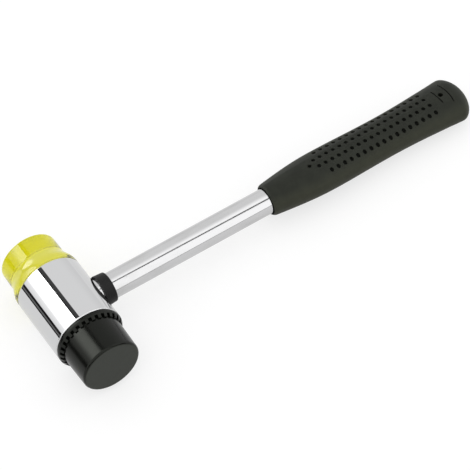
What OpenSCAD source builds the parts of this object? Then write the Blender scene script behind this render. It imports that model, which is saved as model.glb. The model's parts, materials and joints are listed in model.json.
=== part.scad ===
// Soft face hammer, lying at rest: the handle runs along +X, the clear face points to +Y,
// the rubber face to -Y. The origin is on the resting surface, under the middle of the hammer.

/* [Head] */
// Diameter of the plated barrel
barrel_d = 40; // [38:0.5:46]
// Length of the plated barrel
barrel_l = 42; // [40:0.5:52]
// Rounding of the barrel's two rims
barrel_rim_r = 0.8; // [0.3:0.1:1.5]
// How far the rims of both faces lie inside the barrel's skin
face_inset = 0.1; // [0:0.05:1]
// How far the handle sits off mid-barrel, towards the clear face
handle_offset = 1; // [0:0.25:2]
// Metal left between the tapped bores and the handle's bore
barrel_web = 2; // [1.5:0.25:3]
// How far the handle's blind bore runs past the barrel's axis
handle_seat = 13; // [9:0.5:14]

/* [Clear face] */
// Length of the clear face outside the barrel
clear_face_l = 23.1; // [20:0.1:30]
// How far the skirt flares out beyond the clear face
clear_flare = 2.65; // [1:0.05:4]
// How much the clear face narrows, on each side, to its striking end
clear_taper = 0.15; // [0:0.05:0.6]
// Length of the flared skirt
clear_skirt_l = 12; // [8:0.1:15]
// Length of the skirt's full-width band
clear_band_l = 2; // [1.5:0.1:6]
// Rounding of the clear face's striking edge
clear_edge_r = 0.9; // [0.3:0.1:2]

/* [Rubber face] */
// Length of the rubber face outside the barrel
rubber_face_l = 24.3; // [20:0.1:32]
// How far the toothed rim stands out beyond the rubber face
rim_h = 2.25; // [1.8:0.05:4]
// How much the rubber face narrows, on each side, to its striking end
rubber_taper = 0.5; // [0:0.05:1]
// Length of the rim's straight foot, before it tapers
rim_foot_l = 1.8; // [1:0.1:3]
// How far the rim tapers in at the tips of its tabs
rim_taper = 1.4; // [0.4:0.1:1.6]
// Length of the rim's plain band
rim_band_l = 2.6; // [2:0.1:5]
// Length of the rim's tabs
rim_tab_l = 1.8; // [1:0.1:4]
// Width of the notch between two tabs
rim_notch_w = 2.1; // [1:0.1:3]
// Number of tabs round the rim
rim_tab_count = 30; // [20:1:36]
// Rounding of the rubber face's striking edge
rubber_edge_r = 1.6; // [0.5:0.1:3]

/* [Threads and washers] */
// Outside diameter of the threads on both faces
thread_d = 20; // [17:0.5:22]
// Pitch of the threads
thread_pitch = 2.5; // [2:0.1:3]
// Depth of the threads
thread_depth = 1.35; // [0.8:0.05:1.6]
// Plain neck between a face and its thread
stud_neck_l = 2; // [1.6:0.1:3]
// Outside diameter of the washers under the faces
washer_d = 27; // [25:0.5:32]
// Thickness of the washers
washer_t = 1.2; // [0.8:0.1:1.5]
// Diameter of the stud's head inside the rubber face
insert_d = 27; // [25:0.5:30]
// Thickness of the stud's head inside the rubber face
insert_t = 3.5; // [2:0.1:5]
// Rubber between the stud's head and the barrel
insert_cover = 2.6; // [1.5:0.1:4]

/* [Handle] */
// Reach from the barrel's axis to the tip of the butt
handle_reach = 262; // [240:0.1:300]
// Outside diameter of the plated tube
tube_d = 15.2; // [13:0.1:16]
// Wall of the plated tube
tube_wall = 1.5; // [1:0.1:2.5]
// Diameter of the cross pin that locks the tube in the barrel
pin_d = 5; // [4:0.5:6]
// Wall of the rolled cross pin
pin_wall = 1; // [0.6:0.1:1.4]
// Slot along the rolled cross pin
pin_slot = 1; // [0.5:0.1:1.5]
// Wall of the collar at the barrel
collar_wall = 1.6; // [1.2:0.1:3]
// Wall of the collar at its far end
collar_tip_wall = 1.1; // [0.6:0.1:2.5]
// Length of the collar
collar_l = 6.7; // [5:0.1:12]
// Rounding of the collar's far end
collar_edge_r = 1; // [0.3:0.1:1.2]
// Length of the plug inside the tube's far end
plug_l = 14; // [8:0.5:20]
// Thickness of the plug's flange
plug_flange_t = 2; // [1:0.1:3]

/* [Grip] */
// Length of the grip from its mouth to the tip of the butt
grip_l = 133.8; // [120:0.1:150]
// Thickness of the grip, the same nearly all along
grip_t = 19.2; // [18.6:0.1:24]
// Diameter of the round mouth
mouth_d = 19; // [18.4:0.1:19.2]
// Rounding of the mouth's lip
mouth_lip_r = 1.2; // [0.4:0.1:1.4]
// Width at the swell under the fingers
swell_w = 27.5; // [24:0.1:32]
// Distance of the swell from the mouth
swell_at = 37.8; // [30:0.1:50]
// Width at the waist
waist_w = 25.7; // [22:0.1:30]
// Distance of the waist from the mouth
waist_at = 78.8; // [65:0.1:92]
// Width at the flared butt
butt_w = 31.4; // [28:0.1:36]
// Height of the domed butt
butt_dome_h = 8.7; // [5:0.1:11]
// Solid rubber between the tube's plug and the tip of the butt
butt_wall = 22; // [20:0.1:26]
// Diameter of the hang hole
hang_hole_d = 3.2; // [2.5:0.1:4]
// Distance of the hang hole from the tip of the butt
hang_hole_at = 15.2; // [13:0.1:17]
// Diameter of the grip's dimples
dimple_d = 2.3; // [1.2:0.1:2.6]
// Depth of the grip's dimples
dimple_depth = 1; // [0.5:0.1:1.2]
// Spacing of the dimples along the grip
dimple_pitch = 4.42; // [3.6:0.01:5]
// Spacing of the rows of dimples across the grip
dimple_row_gap = 5.3; // [4:0.1:5.6]
// How far each row of dimples is shifted along the grip from the one before
dimple_row_shift = 0.6; // [0:0.1:2]
// Number of dimples along a middle row
dimple_columns = 18; // [8:1:20]
// Distance of the last dimples from the tip of the butt
dimple_end_at = 24.8; // [22:0.1:31]
// Width of the two grooves beside the hang hole
groove_w = 0.9; // [0.4:0.1:1.2]
// Depth of the two grooves
groove_depth = 0.7; // [0.2:0.1:0.8]
// Distance from the hang hole to the groove on the head's side
groove_before = 2.4; // [2.2:0.1:4]
// Distance from the hang hole to the groove on the butt's side
groove_after = 3.9; // [2.2:0.1:5]
// Length across the grip of the groove on the butt's side
groove_l = 16; // [10:0.5:20]
// Length across the grip of the groove on the head's side
groove_short_l = 11; // [8:0.5:20]

/* [Hidden] */
// Gap in a fixed fit, such as the tube in the barrel
fit_gap = 0.02;
// Gap where a face or a washer seats
seat_gap = 0.05;
// Radial gap round a thread that turns
thread_gap = 0.1;
// Radial gap between a washer and what it goes round or into
washer_gap = 0.3;
// Gap left under the end of a stud
stud_end_gap = 1;
// How far the cross pin's ends lie below the bottoms of the tapped bores
pin_recess = 0.3;
// How far a stud's core lies below the root of its thread
core_inset = 0.4;
// Plain tip beyond a stud's thread
stud_tip_l = 0.8;
// How far a cut runs past what it cuts
overrun = 1;
// Lead of a face's shoulder, so that its rim meets the barrel's rounding
skirt_foot_l = 0.8;
// Radius of the six scallops that key the stud's head into the rubber
key_r = 3;
// Number of those scallops
key_count = 6;
// Shape of the butt: between 1, with a sharp corner, and 2, an ellipse
butt_round = 1.7;
// Share of the thread's pitch where its ridge is at full height
crest_share = 0.2;
// Share of the thread's pitch that each flank takes
flank_share = 0.3;
// Facets of the lofted grip, of a thread's turn and of a curve in an outline
grip_sides = 36;
thread_sides = 24;
thread_rings_per_turn = 8;
arc_steps = 6;
curve_steps = 10;
$fn = 96;

barrel_r = barrel_d / 2;
clear_end_y = barrel_l / 2 - handle_offset;
rubber_end_y = barrel_l / 2 + handle_offset;
tube_r = tube_d / 2;
tube_bore_r = tube_r + fit_gap;
tapped_bottom = tube_bore_r + barrel_web;
tapped_depth = clear_end_y - tapped_bottom;
tapped_r = thread_d / 2 + thread_gap;
thread_root_r = thread_d / 2 - thread_depth;
core_r = thread_root_r - core_inset;
stud_l = tapped_depth - stud_end_gap;
thread_l = stud_l - stud_neck_l - stud_tip_l;
recess_d = washer_d + 2 * washer_gap;
recess_depth = washer_t + seat_gap;
washer_hole_d = thread_d + 2 * washer_gap;
pin_half_l = tapped_bottom - pin_recess;
grip_x = handle_reach - grip_l;
plug_end_x = handle_reach - butt_wall;
tube_start_x = fit_gap - handle_seat;
tube_end_x = plug_end_x - plug_flange_t - fit_gap;
waist_run = waist_at - swell_at;
butt_at = grip_l - butt_dome_h;
butt_x = handle_reach - butt_dome_h;
hang_hole_x = handle_reach - hang_hole_at;

// At rest the barrel and the underside of the butt both touch the surface
rest_arm = sqrt(butt_x * butt_x + grip_t * grip_t / 4);
rest_tilt = asin(barrel_r / rest_arm) - atan(grip_t / (2 * butt_x));
rest_x = (barrel_r - handle_reach * cos(rest_tilt)) / 2;
rest_y = (rubber_end_y + rubber_face_l - clear_end_y - clear_face_l) / 2;

// Lays the hammer down: it is drawn about the crossing of the barrel's and the handle's axes
module at_rest() {
    translate([rest_x, rest_y, barrel_r]) rotate([0, rest_tilt, 0]) children();
}

// Turns a shape drawn along +Z to run along the handle
module along_handle(x) {
    translate([x, 0, 0]) rotate([0, 90, 0]) children();
}

// A face is drawn with the barrel's end at z = 0 and its striking end up
module on_clear_end() {
    translate([0, clear_end_y, 0]) rotate([-90, 0, 0]) children();
}

module on_rubber_end() {
    translate([0, -rubber_end_y, 0]) rotate([90, 0, 0]) children();
}

// Points of a quarter round from angle a to angle b about c
function arc(c, r, a, b) = [
    for (i = [0 : arc_steps])
        let (t = a + (b - a) * i / arc_steps) [c[0] + r * cos(t), c[1] + r * sin(t)]
];

// Height of the thread's ridge, 0 to 1, at a place along its pitch
function ridge(p) =
    let (from_crest = abs(p - floor(p) - 1 / 2) - crest_share / 2)
    1 - max(0, min(1, from_crest / flank_share));

// The ridge runs out over half a pitch at both ends of the thread
function run_out(z) = max(0, min(1, 2 * min(z, thread_l - z) / thread_pitch));

// A right-hand thread along +Z, closed at both ends
module thread() {
    rings = ceil(thread_l / thread_pitch * thread_rings_per_turn);
    points = [
        for (j = [0 : rings], i = [0 : thread_sides - 1])
            let (
                z = thread_l * j / rings,
                turn = i / thread_sides,
                r = thread_root_r + thread_depth * run_out(z) * ridge(z / thread_pitch - turn)
            )
            [r * cos(360 * turn), r * sin(360 * turn), z]
    ];
    sides = [
        for (j = [0 : rings - 1], i = [0 : thread_sides - 1], upper = [0, 1])
            let (
                low = j * thread_sides + i,
                next = j * thread_sides + (i + 1) % thread_sides
            )
            upper == 0
                ? [low, low + thread_sides, next + thread_sides]
                : [low, next + thread_sides, next]
    ];
    bottom = [for (i = [0 : thread_sides - 1]) i];
    top = [for (i = [0 : thread_sides - 1]) (rings + 1) * thread_sides - 1 - i];
    polyhedron(points, concat(sides, [bottom, top]));
}

// The stud that hangs down from a face: plain core, neck, thread and tip
module stud(root_z) {
    translate([0, 0, -stud_l]) cylinder(h = stud_l + root_z, r = core_r);
    translate([0, 0, -stud_l + stud_tip_l]) thread();
}

module washer() {
    translate([0, 0, -washer_t]) difference() {
        cylinder(h = washer_t, d = washer_d);
        translate([0, 0, -overrun]) cylinder(h = washer_t + 2 * overrun, d = washer_hole_d);
    }
}

// Plated steel barrel with a tapped bore in each end and a blind bore for the handle
module head_barrel() {
    color("gainsboro") at_rest() difference() {
        on_rubber_end() mirror([0, 0, 1]) rotate_extrude() polygon(concat(
            [[0, 0]],
            arc([barrel_r - barrel_rim_r, barrel_rim_r], barrel_rim_r, -90, 0),
            arc([barrel_r - barrel_rim_r, barrel_l - barrel_rim_r], barrel_rim_r, 0, 90),
            [[0, barrel_l]]
        ));
        on_clear_end() tapped_bore();
        on_rubber_end() tapped_bore();
        along_handle(-handle_seat) cylinder(h = handle_seat + barrel_r + overrun, r = tube_bore_r);
        rotate([90, 0, 0]) cylinder(h = barrel_l, d = pin_d + 2 * fit_gap, center = true);
    }
}

module tapped_bore() {
    translate([0, 0, -tapped_depth]) cylinder(h = tapped_depth + overrun, r = tapped_r);
    translate([0, 0, -recess_depth]) cylinder(h = recess_depth + overrun, d = recess_d);
}

// Clear plastic face, moulded in one with its threaded stud
module clear_face() {
    skirt_r = barrel_r - face_inset;
    base_r = skirt_r - clear_flare;
    end_r = base_r - clear_taper;
    flare_l = clear_skirt_l - clear_band_l;
    color("yellow") at_rest() on_clear_end() {
        rotate_extrude() polygon(concat(
            [[0, seat_gap], [skirt_r - skirt_foot_l / 2, seat_gap], [skirt_r, skirt_foot_l]],
            [for (i = [0 : curve_steps])
                [base_r + clear_flare * (1 + cos(180 * i / curve_steps)) / 2,
                    clear_band_l + flare_l * i / curve_steps]],
            arc([end_r - clear_edge_r, clear_face_l - clear_edge_r], clear_edge_r, 0, 90),
            [[0, clear_face_l]]
        ));
        stud(clear_skirt_l / 2);
    }
}

module clear_face_washer() {
    color("white") at_rest() on_clear_end() washer();
}

// Rubber face with a toothed rim to turn it by, moulded round the head of its stud
module rubber_face() {
    rim_r = barrel_r - face_inset;
    base_r = rim_r - rim_h;
    end_r = base_r - rubber_taper;
    rim_l = rim_band_l + rim_tab_l;
    color("dimgray") at_rest() on_rubber_end() difference() {
        rotate_extrude() polygon(concat(
            [[0, seat_gap], [rim_r, seat_gap], [rim_r, rim_foot_l]],
            [[rim_r - rim_taper, rim_l], [base_r, rim_l]],
            arc([end_r - rubber_edge_r, rubber_face_l - rubber_edge_r], rubber_edge_r, 0, 90),
            [[0, rubber_face_l]]
        ));
        for (i = [0 : rim_tab_count - 1]) rotate([0, 0, 360 * i / rim_tab_count])
            translate([base_r, -rim_notch_w / 2, rim_band_l])
                cube([rim_h + overrun, rim_notch_w, rim_tab_l + overrun]);
        stud_head(fit_gap);
        cylinder(h = insert_cover + insert_t / 2, r = core_r + fit_gap);
    }
}

// Head of the rubber face's stud, with scallops that key it into the rubber
module stud_head(grow) {
    difference() {
        translate([0, 0, insert_cover - grow]) cylinder(h = insert_t + 2 * grow, d = insert_d + 2 * grow);
        for (i = [0 : key_count - 1]) rotate([0, 0, 360 * i / key_count])
            translate([insert_d / 2, 0, insert_cover - overrun])
                cylinder(h = insert_t + 2 * overrun, r = key_r - grow);
    }
}

module rubber_face_stud() {
    color("silver") at_rest() on_rubber_end() {
        stud(insert_cover + insert_t / 2);
        stud_head(0);
    }
}

module rubber_face_washer() {
    color("black") at_rest() on_rubber_end() washer();
}

// Plated steel tube, seated in the barrel and drilled for the cross pin
module handle_tube() {
    color("lightgray") at_rest() difference() {
        along_handle(tube_start_x) cylinder(h = tube_end_x - tube_start_x, r = tube_r);
        along_handle(tube_start_x - overrun)
            cylinder(h = tube_end_x - tube_start_x + 2 * overrun, r = tube_r - tube_wall);
        rotate([90, 0, 0]) cylinder(h = tube_d + 2 * overrun, d = pin_d + 2 * fit_gap, center = true);
    }
}

// Rolled spring pin on the barrel's axis, hidden under the faces
module handle_pin() {
    color("slategray") at_rest() rotate([90, 0, 0]) difference() {
        cylinder(h = 2 * pin_half_l, d = pin_d, center = true);
        cylinder(h = 2 * pin_half_l + 2 * overrun, d = pin_d - 2 * pin_wall, center = true);
        translate([0, -pin_slot / 2, -pin_half_l - overrun])
            cube([pin_d / 2 + overrun, pin_slot, 2 * pin_half_l + 2 * overrun]);
    }
}

// Moulded collar that closes the joint between barrel and tube
module handle_collar() {
    tip_r = tube_bore_r + collar_tip_wall;
    edge_r = min(collar_edge_r, collar_tip_wall - fit_gap);
    color("black") at_rest() along_handle(barrel_r + seat_gap) rotate_extrude() polygon(concat(
        [[tube_bore_r, 0], [tube_bore_r + collar_wall, 0]],
        arc([tip_r - edge_r, collar_l - edge_r], edge_r, 0, 90),
        [[tube_bore_r, collar_l]]
    ));
}

// Half of a width that changes from one value to another, at a share of the way
function half_between(from, to, share) = (from + (to - from) * share) / 2;

// Half width of the grip at a distance from its mouth
function grip_half_w(s) =
    s < swell_at ? half_between(mouth_d, swell_w, sin(90 * s / swell_at))
    : s < waist_at ? half_between(waist_w, swell_w, (1 + cos(180 * (s - swell_at) / waist_run)) / 2)
    : half_between(waist_w, butt_w, 1 - cos(90 * (s - waist_at) / (butt_at - waist_at)));

// Half thickness of the grip at a distance from its mouth
function grip_half_t(s) = half_between(mouth_d, grip_t, sin(90 * min(1, s / swell_at)));

// One ring of the grip: distance from the mouth, half width and half thickness
function side_ring(s) = [s, grip_half_w(s), grip_half_t(s)];
function lip_ring(t) =
    let (drop = mouth_lip_r * (1 - sin(t)))
    [mouth_lip_r * (1 - cos(t)), mouth_d / 2 - drop, mouth_d / 2 - drop];
function butt_ring(u) =
    let (share = sqrt(1 - pow(u, butt_round)))
    [butt_at + butt_dome_h * u, butt_w / 2 * share, grip_t / 2 * share];

// Rings of one stretch of the grip's side, without its first
function side_rings(from, to) =
    [for (i = [1 : curve_steps]) side_ring(from + (to - from) * i / curve_steps)];

grip_rings = concat(
    [for (i = [0 : arc_steps - 1]) lip_ring(90 * i / arc_steps)],
    side_rings(mouth_lip_r, swell_at),
    side_rings(swell_at, waist_at),
    side_rings(waist_at, butt_at),
    [for (i = [1 : curve_steps - 1]) butt_ring(sin(90 * i / curve_steps))]
);

// The grip's outer form: oval rings joined one to the next and closed at the tip
module grip_form() {
    last = len(grip_rings) - 1;
    tip = len(grip_rings) * grip_sides;
    points = concat(
        [for (ring = grip_rings, i = [0 : grip_sides - 1])
            let (a = 360 * i / grip_sides) [grip_x + ring[0], ring[1] * cos(a), ring[2] * sin(a)]],
        [[handle_reach, 0, 0]]
    );
    sides = [
        for (j = [0 : last - 1], i = [0 : grip_sides - 1], upper = [0, 1])
            let (
                low = j * grip_sides + i,
                next = j * grip_sides + (i + 1) % grip_sides
            )
            upper == 0
                ? [low, low + grip_sides, next + grip_sides]
                : [low, next + grip_sides, next]
    ];
    cap = [
        for (i = [0 : grip_sides - 1])
            [last * grip_sides + i, tip, last * grip_sides + (i + 1) % grip_sides]
    ];
    mouth = [for (i = [0 : grip_sides - 1]) i];
    polyhedron(points, concat(sides, cap, [mouth]));
}

// Places of the dimples on one side: distance from the butt's tip and place across the grip
dimple_row_shares = [-1.5, -0.5, 0.5, 1.5];
dimple_places = concat(
    [for (share = dimple_row_shares, i = [0 : dimple_columns - (abs(share) > 1 ? 2 : 1)])
        [dimple_end_at + dimple_pitch * i + dimple_row_shift * share, dimple_row_gap * share]],
    [[dimple_end_at + dimple_pitch * dimple_columns, 0]]
);

// One dimple, square to the oval surface, with its mouth at height z over the handle's axis
module dimple(place) {
    s = grip_l - place[0];
    w = grip_half_w(s);
    t = grip_half_t(s);
    z = t * sqrt(1 - place[1] * place[1] / (w * w));
    lean = atan2(place[1] / (w * w), z / (t * t));
    translate([grip_x + s, place[1], z]) rotate([-lean, 0, 0])
        translate([0, 0, -dimple_depth]) cylinder(h = dimple_depth + overrun, d = dimple_d, $fn = 24);
}

// A shallow groove across the top of the grip at a distance from its mouth
module groove(s, length) {
    w = grip_half_w(min(s, butt_at)) - groove_depth;
    t = grip_half_t(s) - groove_depth;
    oval = [for (i = [0 : grip_sides - 1]) let (a = 360 * i / grip_sides) [w * cos(a), t * sin(a)]];
    translate([grip_x + s - groove_w / 2, 0, 0]) rotate([90, 0, 90])
        linear_extrude(groove_w) difference() {
            translate([-length / 2, 0]) square([length, grip_t]);
            polygon(oval);
        }
}

// Oval rubber sleeve with dimples on both flat sides and a hang hole through the butt
module grip_sleeve() {
    color("darkslategray") at_rest() difference() {
        grip_form();
        along_handle(grip_x - overrun)
            cylinder(h = plug_end_x + fit_gap - grip_x + overrun, r = tube_bore_r);
        translate([hang_hole_x, 0, -grip_t]) cylinder(h = 2 * grip_t, d = hang_hole_d);
        for (side = [0, 1]) mirror([0, 0, side]) {
            for (place = dimple_places) dimple(place);
            groove(hang_hole_x - grip_x - groove_before, groove_short_l);
            groove(hang_hole_x - grip_x + groove_after, groove_l);
        }
    }
}

// Plastic plug that closes the tube's far end and keeps its edge out of the rubber
module tube_end_plug() {
    color("ivory") at_rest() along_handle(0) {
        translate([0, 0, plug_end_x - plug_flange_t]) cylinder(h = plug_flange_t, r = tube_r);
        translate([0, 0, plug_end_x - plug_flange_t - plug_l])
            cylinder(h = plug_l + plug_flange_t / 2, r = tube_r - tube_wall - fit_gap);
    }
}

head_barrel();
clear_face();
clear_face_washer();
rubber_face();
rubber_face_stud();
rubber_face_washer();
handle_tube();
handle_pin();
handle_collar();
grip_sleeve();
tube_end_plug();
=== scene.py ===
"""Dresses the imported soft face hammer: fine meshes, procedural finishes, studio and camera.

Lengths are in metres. Each piece is modelled in the hammer's own axes, which cross where the lines of the
barrel and the handle meet: +X runs along the handle, +Y towards the clear face and +Z up. It is then laid
down in the frame as the record says.
"""

import json
import logging
import math
from dataclasses import dataclass
from enum import Enum
from typing import Any, Callable, ClassVar, Mapping, Sequence, Union

import bmesh
import bpy
from bmesh.types import BMEdge, BMFace, BMVert
from mathutils import Matrix, Vector


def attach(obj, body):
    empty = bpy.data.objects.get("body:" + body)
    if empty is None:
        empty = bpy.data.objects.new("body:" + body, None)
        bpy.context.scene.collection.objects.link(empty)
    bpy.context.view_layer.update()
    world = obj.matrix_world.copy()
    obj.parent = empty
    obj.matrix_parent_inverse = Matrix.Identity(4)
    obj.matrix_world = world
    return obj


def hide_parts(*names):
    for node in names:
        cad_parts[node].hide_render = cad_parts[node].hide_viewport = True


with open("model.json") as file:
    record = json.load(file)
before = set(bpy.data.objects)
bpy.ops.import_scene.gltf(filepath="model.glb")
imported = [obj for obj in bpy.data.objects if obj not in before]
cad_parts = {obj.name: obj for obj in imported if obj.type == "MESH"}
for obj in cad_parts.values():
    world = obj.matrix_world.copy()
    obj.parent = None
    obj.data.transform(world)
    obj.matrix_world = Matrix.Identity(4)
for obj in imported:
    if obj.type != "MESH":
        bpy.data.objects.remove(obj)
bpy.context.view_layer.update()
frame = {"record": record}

MM = 0.001
FULL_TURN = 2 * math.pi
WELD = 0.002 * MM
TRIM = WELD / 10
POLE = WELD / 100
# Share of a radius from which a face's middle counts as lying on that skin
SKIN_SHARE = 0.999
SHARP = math.radians(38)
EVEN_WEIGHT = 100
Colour = tuple[float, float, float]
Lines = tuple[float, float, float, float]
Span = tuple[float, float]
Shares = tuple[float, ...]
log = logging.getLogger("hammer")


class Record:
    """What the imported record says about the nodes, their bodies and their slots."""

    def __init__(self, record: Mapping[str, Any]) -> None:
        """Keeps the record's tables.

        Args:
            record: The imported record.
        """
        behaviour = record["behaviour"]
        self.slots = {part["node"]: part["material_slot"] for part in record["subparts"]}
        self.bodies = {node: body for body, nodes in behaviour["bodies"].items() for node in nodes}
        self.mounts = {mount["name"]: mount for mount in record["mounts"]}
        self.joints = {joint["name"]: joint for joint in behaviour["joints"]}


@dataclass(frozen=True)
class Rest:
    """How the hammer lies: the place of its own axes in the frame, and how far the butt hangs down."""

    head: tuple[float, float, float]
    tilt: float

    @classmethod
    def read(cls, record: Record) -> "Rest":
        """Works out the lie from the hang hole and the clear face's hinge.

        Args:
            record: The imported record's tables.

        Returns:
            The lie of the hammer.
        """
        hole = record.mounts["hang_hole"]
        hinge = record.joints["clear_face_turn"]["pos_m"]
        tilt = math.atan2(hole["axis"][0], hole["axis"][2])
        return cls((hinge[0], hole["pos_m"][1], hinge[2]), tilt)

    @property
    def matrix(self) -> Matrix:
        """Takes the hammer's own axes to the frame's."""
        return Matrix.Translation(self.head) @ Matrix.Rotation(self.tilt, 4, "Y")


class Line(Enum):
    """The two lines that pieces are turned about, each with a direction square to it."""

    BARREL = ((0.0, 1.0, 0.0), (1.0, 0.0, 0.0))
    HANDLE = ((1.0, 0.0, 0.0), (0.0, 0.0, 1.0))

    @property
    def along(self) -> Vector:
        """Unit vector along the line."""
        return Vector(self.value[0])

    def at(self, along: float, radius: float) -> Vector:
        """The point of an outline at a place along the line and a radius from it."""
        return self.along * along + Vector(self.value[1]) * radius

    def spoke(self, point: Vector) -> Vector:
        """The part of a point that is square to the line."""
        return point - self.along * point.dot(self.along)

    def moved(self, point: Vector, along: float, radius: float) -> Vector:
        """The point at the same angle round the line, but at another place and radius."""
        return self.along * along + self.spoke(point).normalized() * radius


@dataclass(frozen=True)
class Corner:
    """One corner of a turned piece's outline: place along the line, radius and rounding."""

    along: float
    radius: float
    round: float = 0.0


@dataclass(frozen=True)
class Screw:
    """The thread that both faces share: its radii, its pitch and the shape of its ridge."""

    crest_r: float = 10.0 * MM
    root_r: float = 8.65 * MM
    pitch: float = 2.5 * MM
    flat_share: float = 0.2
    flank_share: float = 0.3
    steps: int = 72

    def ridge(self, inner: float, outer: float) -> list[tuple[float, float]]:
        """One pitch of the thread, from flat to flat.

        Args:
            inner: Radius of the flats at its ends.
            outer: Radius of the flat in its middle.

        Returns:
            Its corners, as shares of the pitch and radii.
        """
        half = self.flat_share / 2
        rise = half + self.flank_share
        return [(0, inner), (half, inner), (rise, outer), (1 - rise, outer), (1 - half, inner), (1, inner)]


class Blank:
    """A mesh that is being worked in the hammer's own axes."""

    round_steps: ClassVar[int] = 6

    def __init__(self) -> None:
        """Starts with an empty mesh."""
        self.mesh = bmesh.new()

    def weld(self) -> None:
        """Merges points that lie on each other, such as those at a pole or a seam."""
        bmesh.ops.remove_doubles(self.mesh, verts=self.mesh.verts[:], dist=WELD)

    def wire(self, corners: Sequence[Corner], line: Line, closed: bool) -> list[Union[BMVert, BMEdge]]:
        """Draws an outline beside a line and rounds its corners.

        Args:
            corners: The outline's corners, in order.
            line: The line that the outline is drawn beside.
            closed: Whether the last corner joins the first.

        Returns:
            The loose points and edges of the outline.
        """
        points = [self.mesh.verts.new(line.at(corner.along, corner.radius)) for corner in corners]
        ends = points[1:] + points[:1] if closed else points[1:]
        for start, end in zip(points, ends):
            self.mesh.edges.new((start, end))
        for point, corner in zip(points, corners):
            if corner.round > 0:
                self.round_corner(point, corner.round)
        loose = [vert for vert in self.mesh.verts if not vert.link_faces]
        return loose + [edge for edge in self.mesh.edges if not edge.link_faces]

    def round_corner(self, point: BMVert, radius: float) -> None:
        """Rounds one corner of an outline.

        Args:
            point: The corner, between two edges.
            radius: Radius of the rounding.
        """
        first, second = (edge.other_vert(point).co - point.co for edge in point.link_edges)
        tangent = radius / math.tan(first.angle(second) / 2)
        bmesh.ops.bevel(
            self.mesh, geom=[point], offset=tangent, offset_type="OFFSET", segments=self.round_steps,
            profile=0.5, affect="VERTICES", material=-1, clamp_overlap=False,
        )

    def turn(
        self, corners: Sequence[Corner], line: Line, steps: int, closed: bool = False,
        angle: float = FULL_TURN,
    ) -> None:
        """Turns an outline about a line.

        Args:
            corners: The outline's corners, in order.
            line: The line to turn about.
            steps: Number of steps round the line.
            closed: Whether the outline is a closed loop, as on a ring.
            angle: How far round it goes.
        """
        outline = self.wire(corners, line, closed)
        bmesh.ops.spin(
            self.mesh, geom=outline, cent=(0, 0, 0), axis=line.along, dvec=(0, 0, 0), angle=angle,
            steps=steps, use_merge=angle == FULL_TURN,
        )
        self.weld()

    def rim(self, test: Callable[[Vector], bool]) -> list[BMEdge]:
        """Finds the open edges whose two ends pass a test.

        Args:
            test: Says whether a point belongs to the rim.

        Returns:
            The open edges.
        """
        bounds = [edge for edge in self.mesh.edges if edge.is_boundary]
        return [edge for edge in bounds if all(test(vert.co) for vert in edge.verts)]

    def grow(self, rim: Sequence[BMEdge], place: Callable[[Vector], Vector]) -> list[BMEdge]:
        """Extrudes an open rim and puts each new point where it belongs.

        Args:
            rim: The open edges.
            place: Gives a new point's place from the old point's.

        Returns:
            The new open edges.
        """
        made = bmesh.ops.extrude_edge_only(self.mesh, edges=rim)["geom"]
        fresh = {item for item in made if isinstance(item, BMVert)}
        for vert in fresh:
            vert.co = place(vert.co.copy())
        return [item for item in made if isinstance(item, BMEdge) and fresh.issuperset(item.verts)]

    def reach(self, rim: Sequence[BMEdge], along: float, radius: float) -> list[BMEdge]:
        """Extrudes an open rim to another place and radius about the barrel's line."""
        return self.grow(rim, lambda point: Line.BARREL.moved(point, along, radius))

    def close(self, rim: Sequence[BMEdge]) -> None:
        """Closes an open rim with one flat face."""
        bmesh.ops.contextual_create(self.mesh, geom=list(rim))

    def thread(
        self, screw: Screw, ridge: Sequence[tuple[float, float]], start: float, end: float, way: int
    ) -> tuple[list[BMEdge], list[BMEdge]]:
        """Winds a right-hand thread about the barrel's line and trims it square at both ends.

        Args:
            screw: The thread's pitch and steps.
            ridge: One pitch of the thread, as shares of the pitch and radii.
            start: Where the thread starts, outwards from the barrel's middle.
            end: Where it ends.
            way: 1 for the clear end of the barrel and -1 for the rubber end.

        Returns:
            The open rims at the start and at the end.
        """
        old = set(self.mesh.verts)
        turns = math.ceil((end - start) / screw.pitch) + 2
        first = (math.floor(start / screw.pitch - ridge[0][0]) - 1) * screw.pitch
        axis = Line.BARREL.along * way
        places = [(way * (first + share * screw.pitch), radius) for share, radius in ridge]
        points = [self.mesh.verts.new(Line.BARREL.at(along, radius)) for along, radius in places]
        edges = [self.mesh.edges.new(pair) for pair in zip(points, points[1:])]
        rise = axis * screw.pitch / screw.steps
        bmesh.ops.spin(
            self.mesh, geom=points + edges, cent=(0, 0, 0), axis=axis, dvec=rise, angle=FULL_TURN * turns,
            steps=screw.steps * turns, use_merge=False,
        )
        bmesh.ops.remove_doubles(self.mesh, verts=[v for v in self.mesh.verts if v not in old], dist=WELD)
        for place, side in ((start, -1), (end, 1)):
            fresh = [vert for vert in self.mesh.verts if vert not in old]
            edges = list({edge for vert in fresh for edge in vert.link_edges})
            faces = list({face for vert in fresh for face in vert.link_faces})
            bmesh.ops.bisect_plane(
                self.mesh, geom=fresh + edges + faces, dist=TRIM, plane_co=axis * place,
                plane_no=axis * side, clear_outer=True,
            )

        def at(place: float) -> Callable[[Vector], bool]:
            """A test for points at a place along the thread."""
            return lambda point: abs(point.dot(axis) - place) < WELD

        return self.rim(at(start)), self.rim(at(end))

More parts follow.
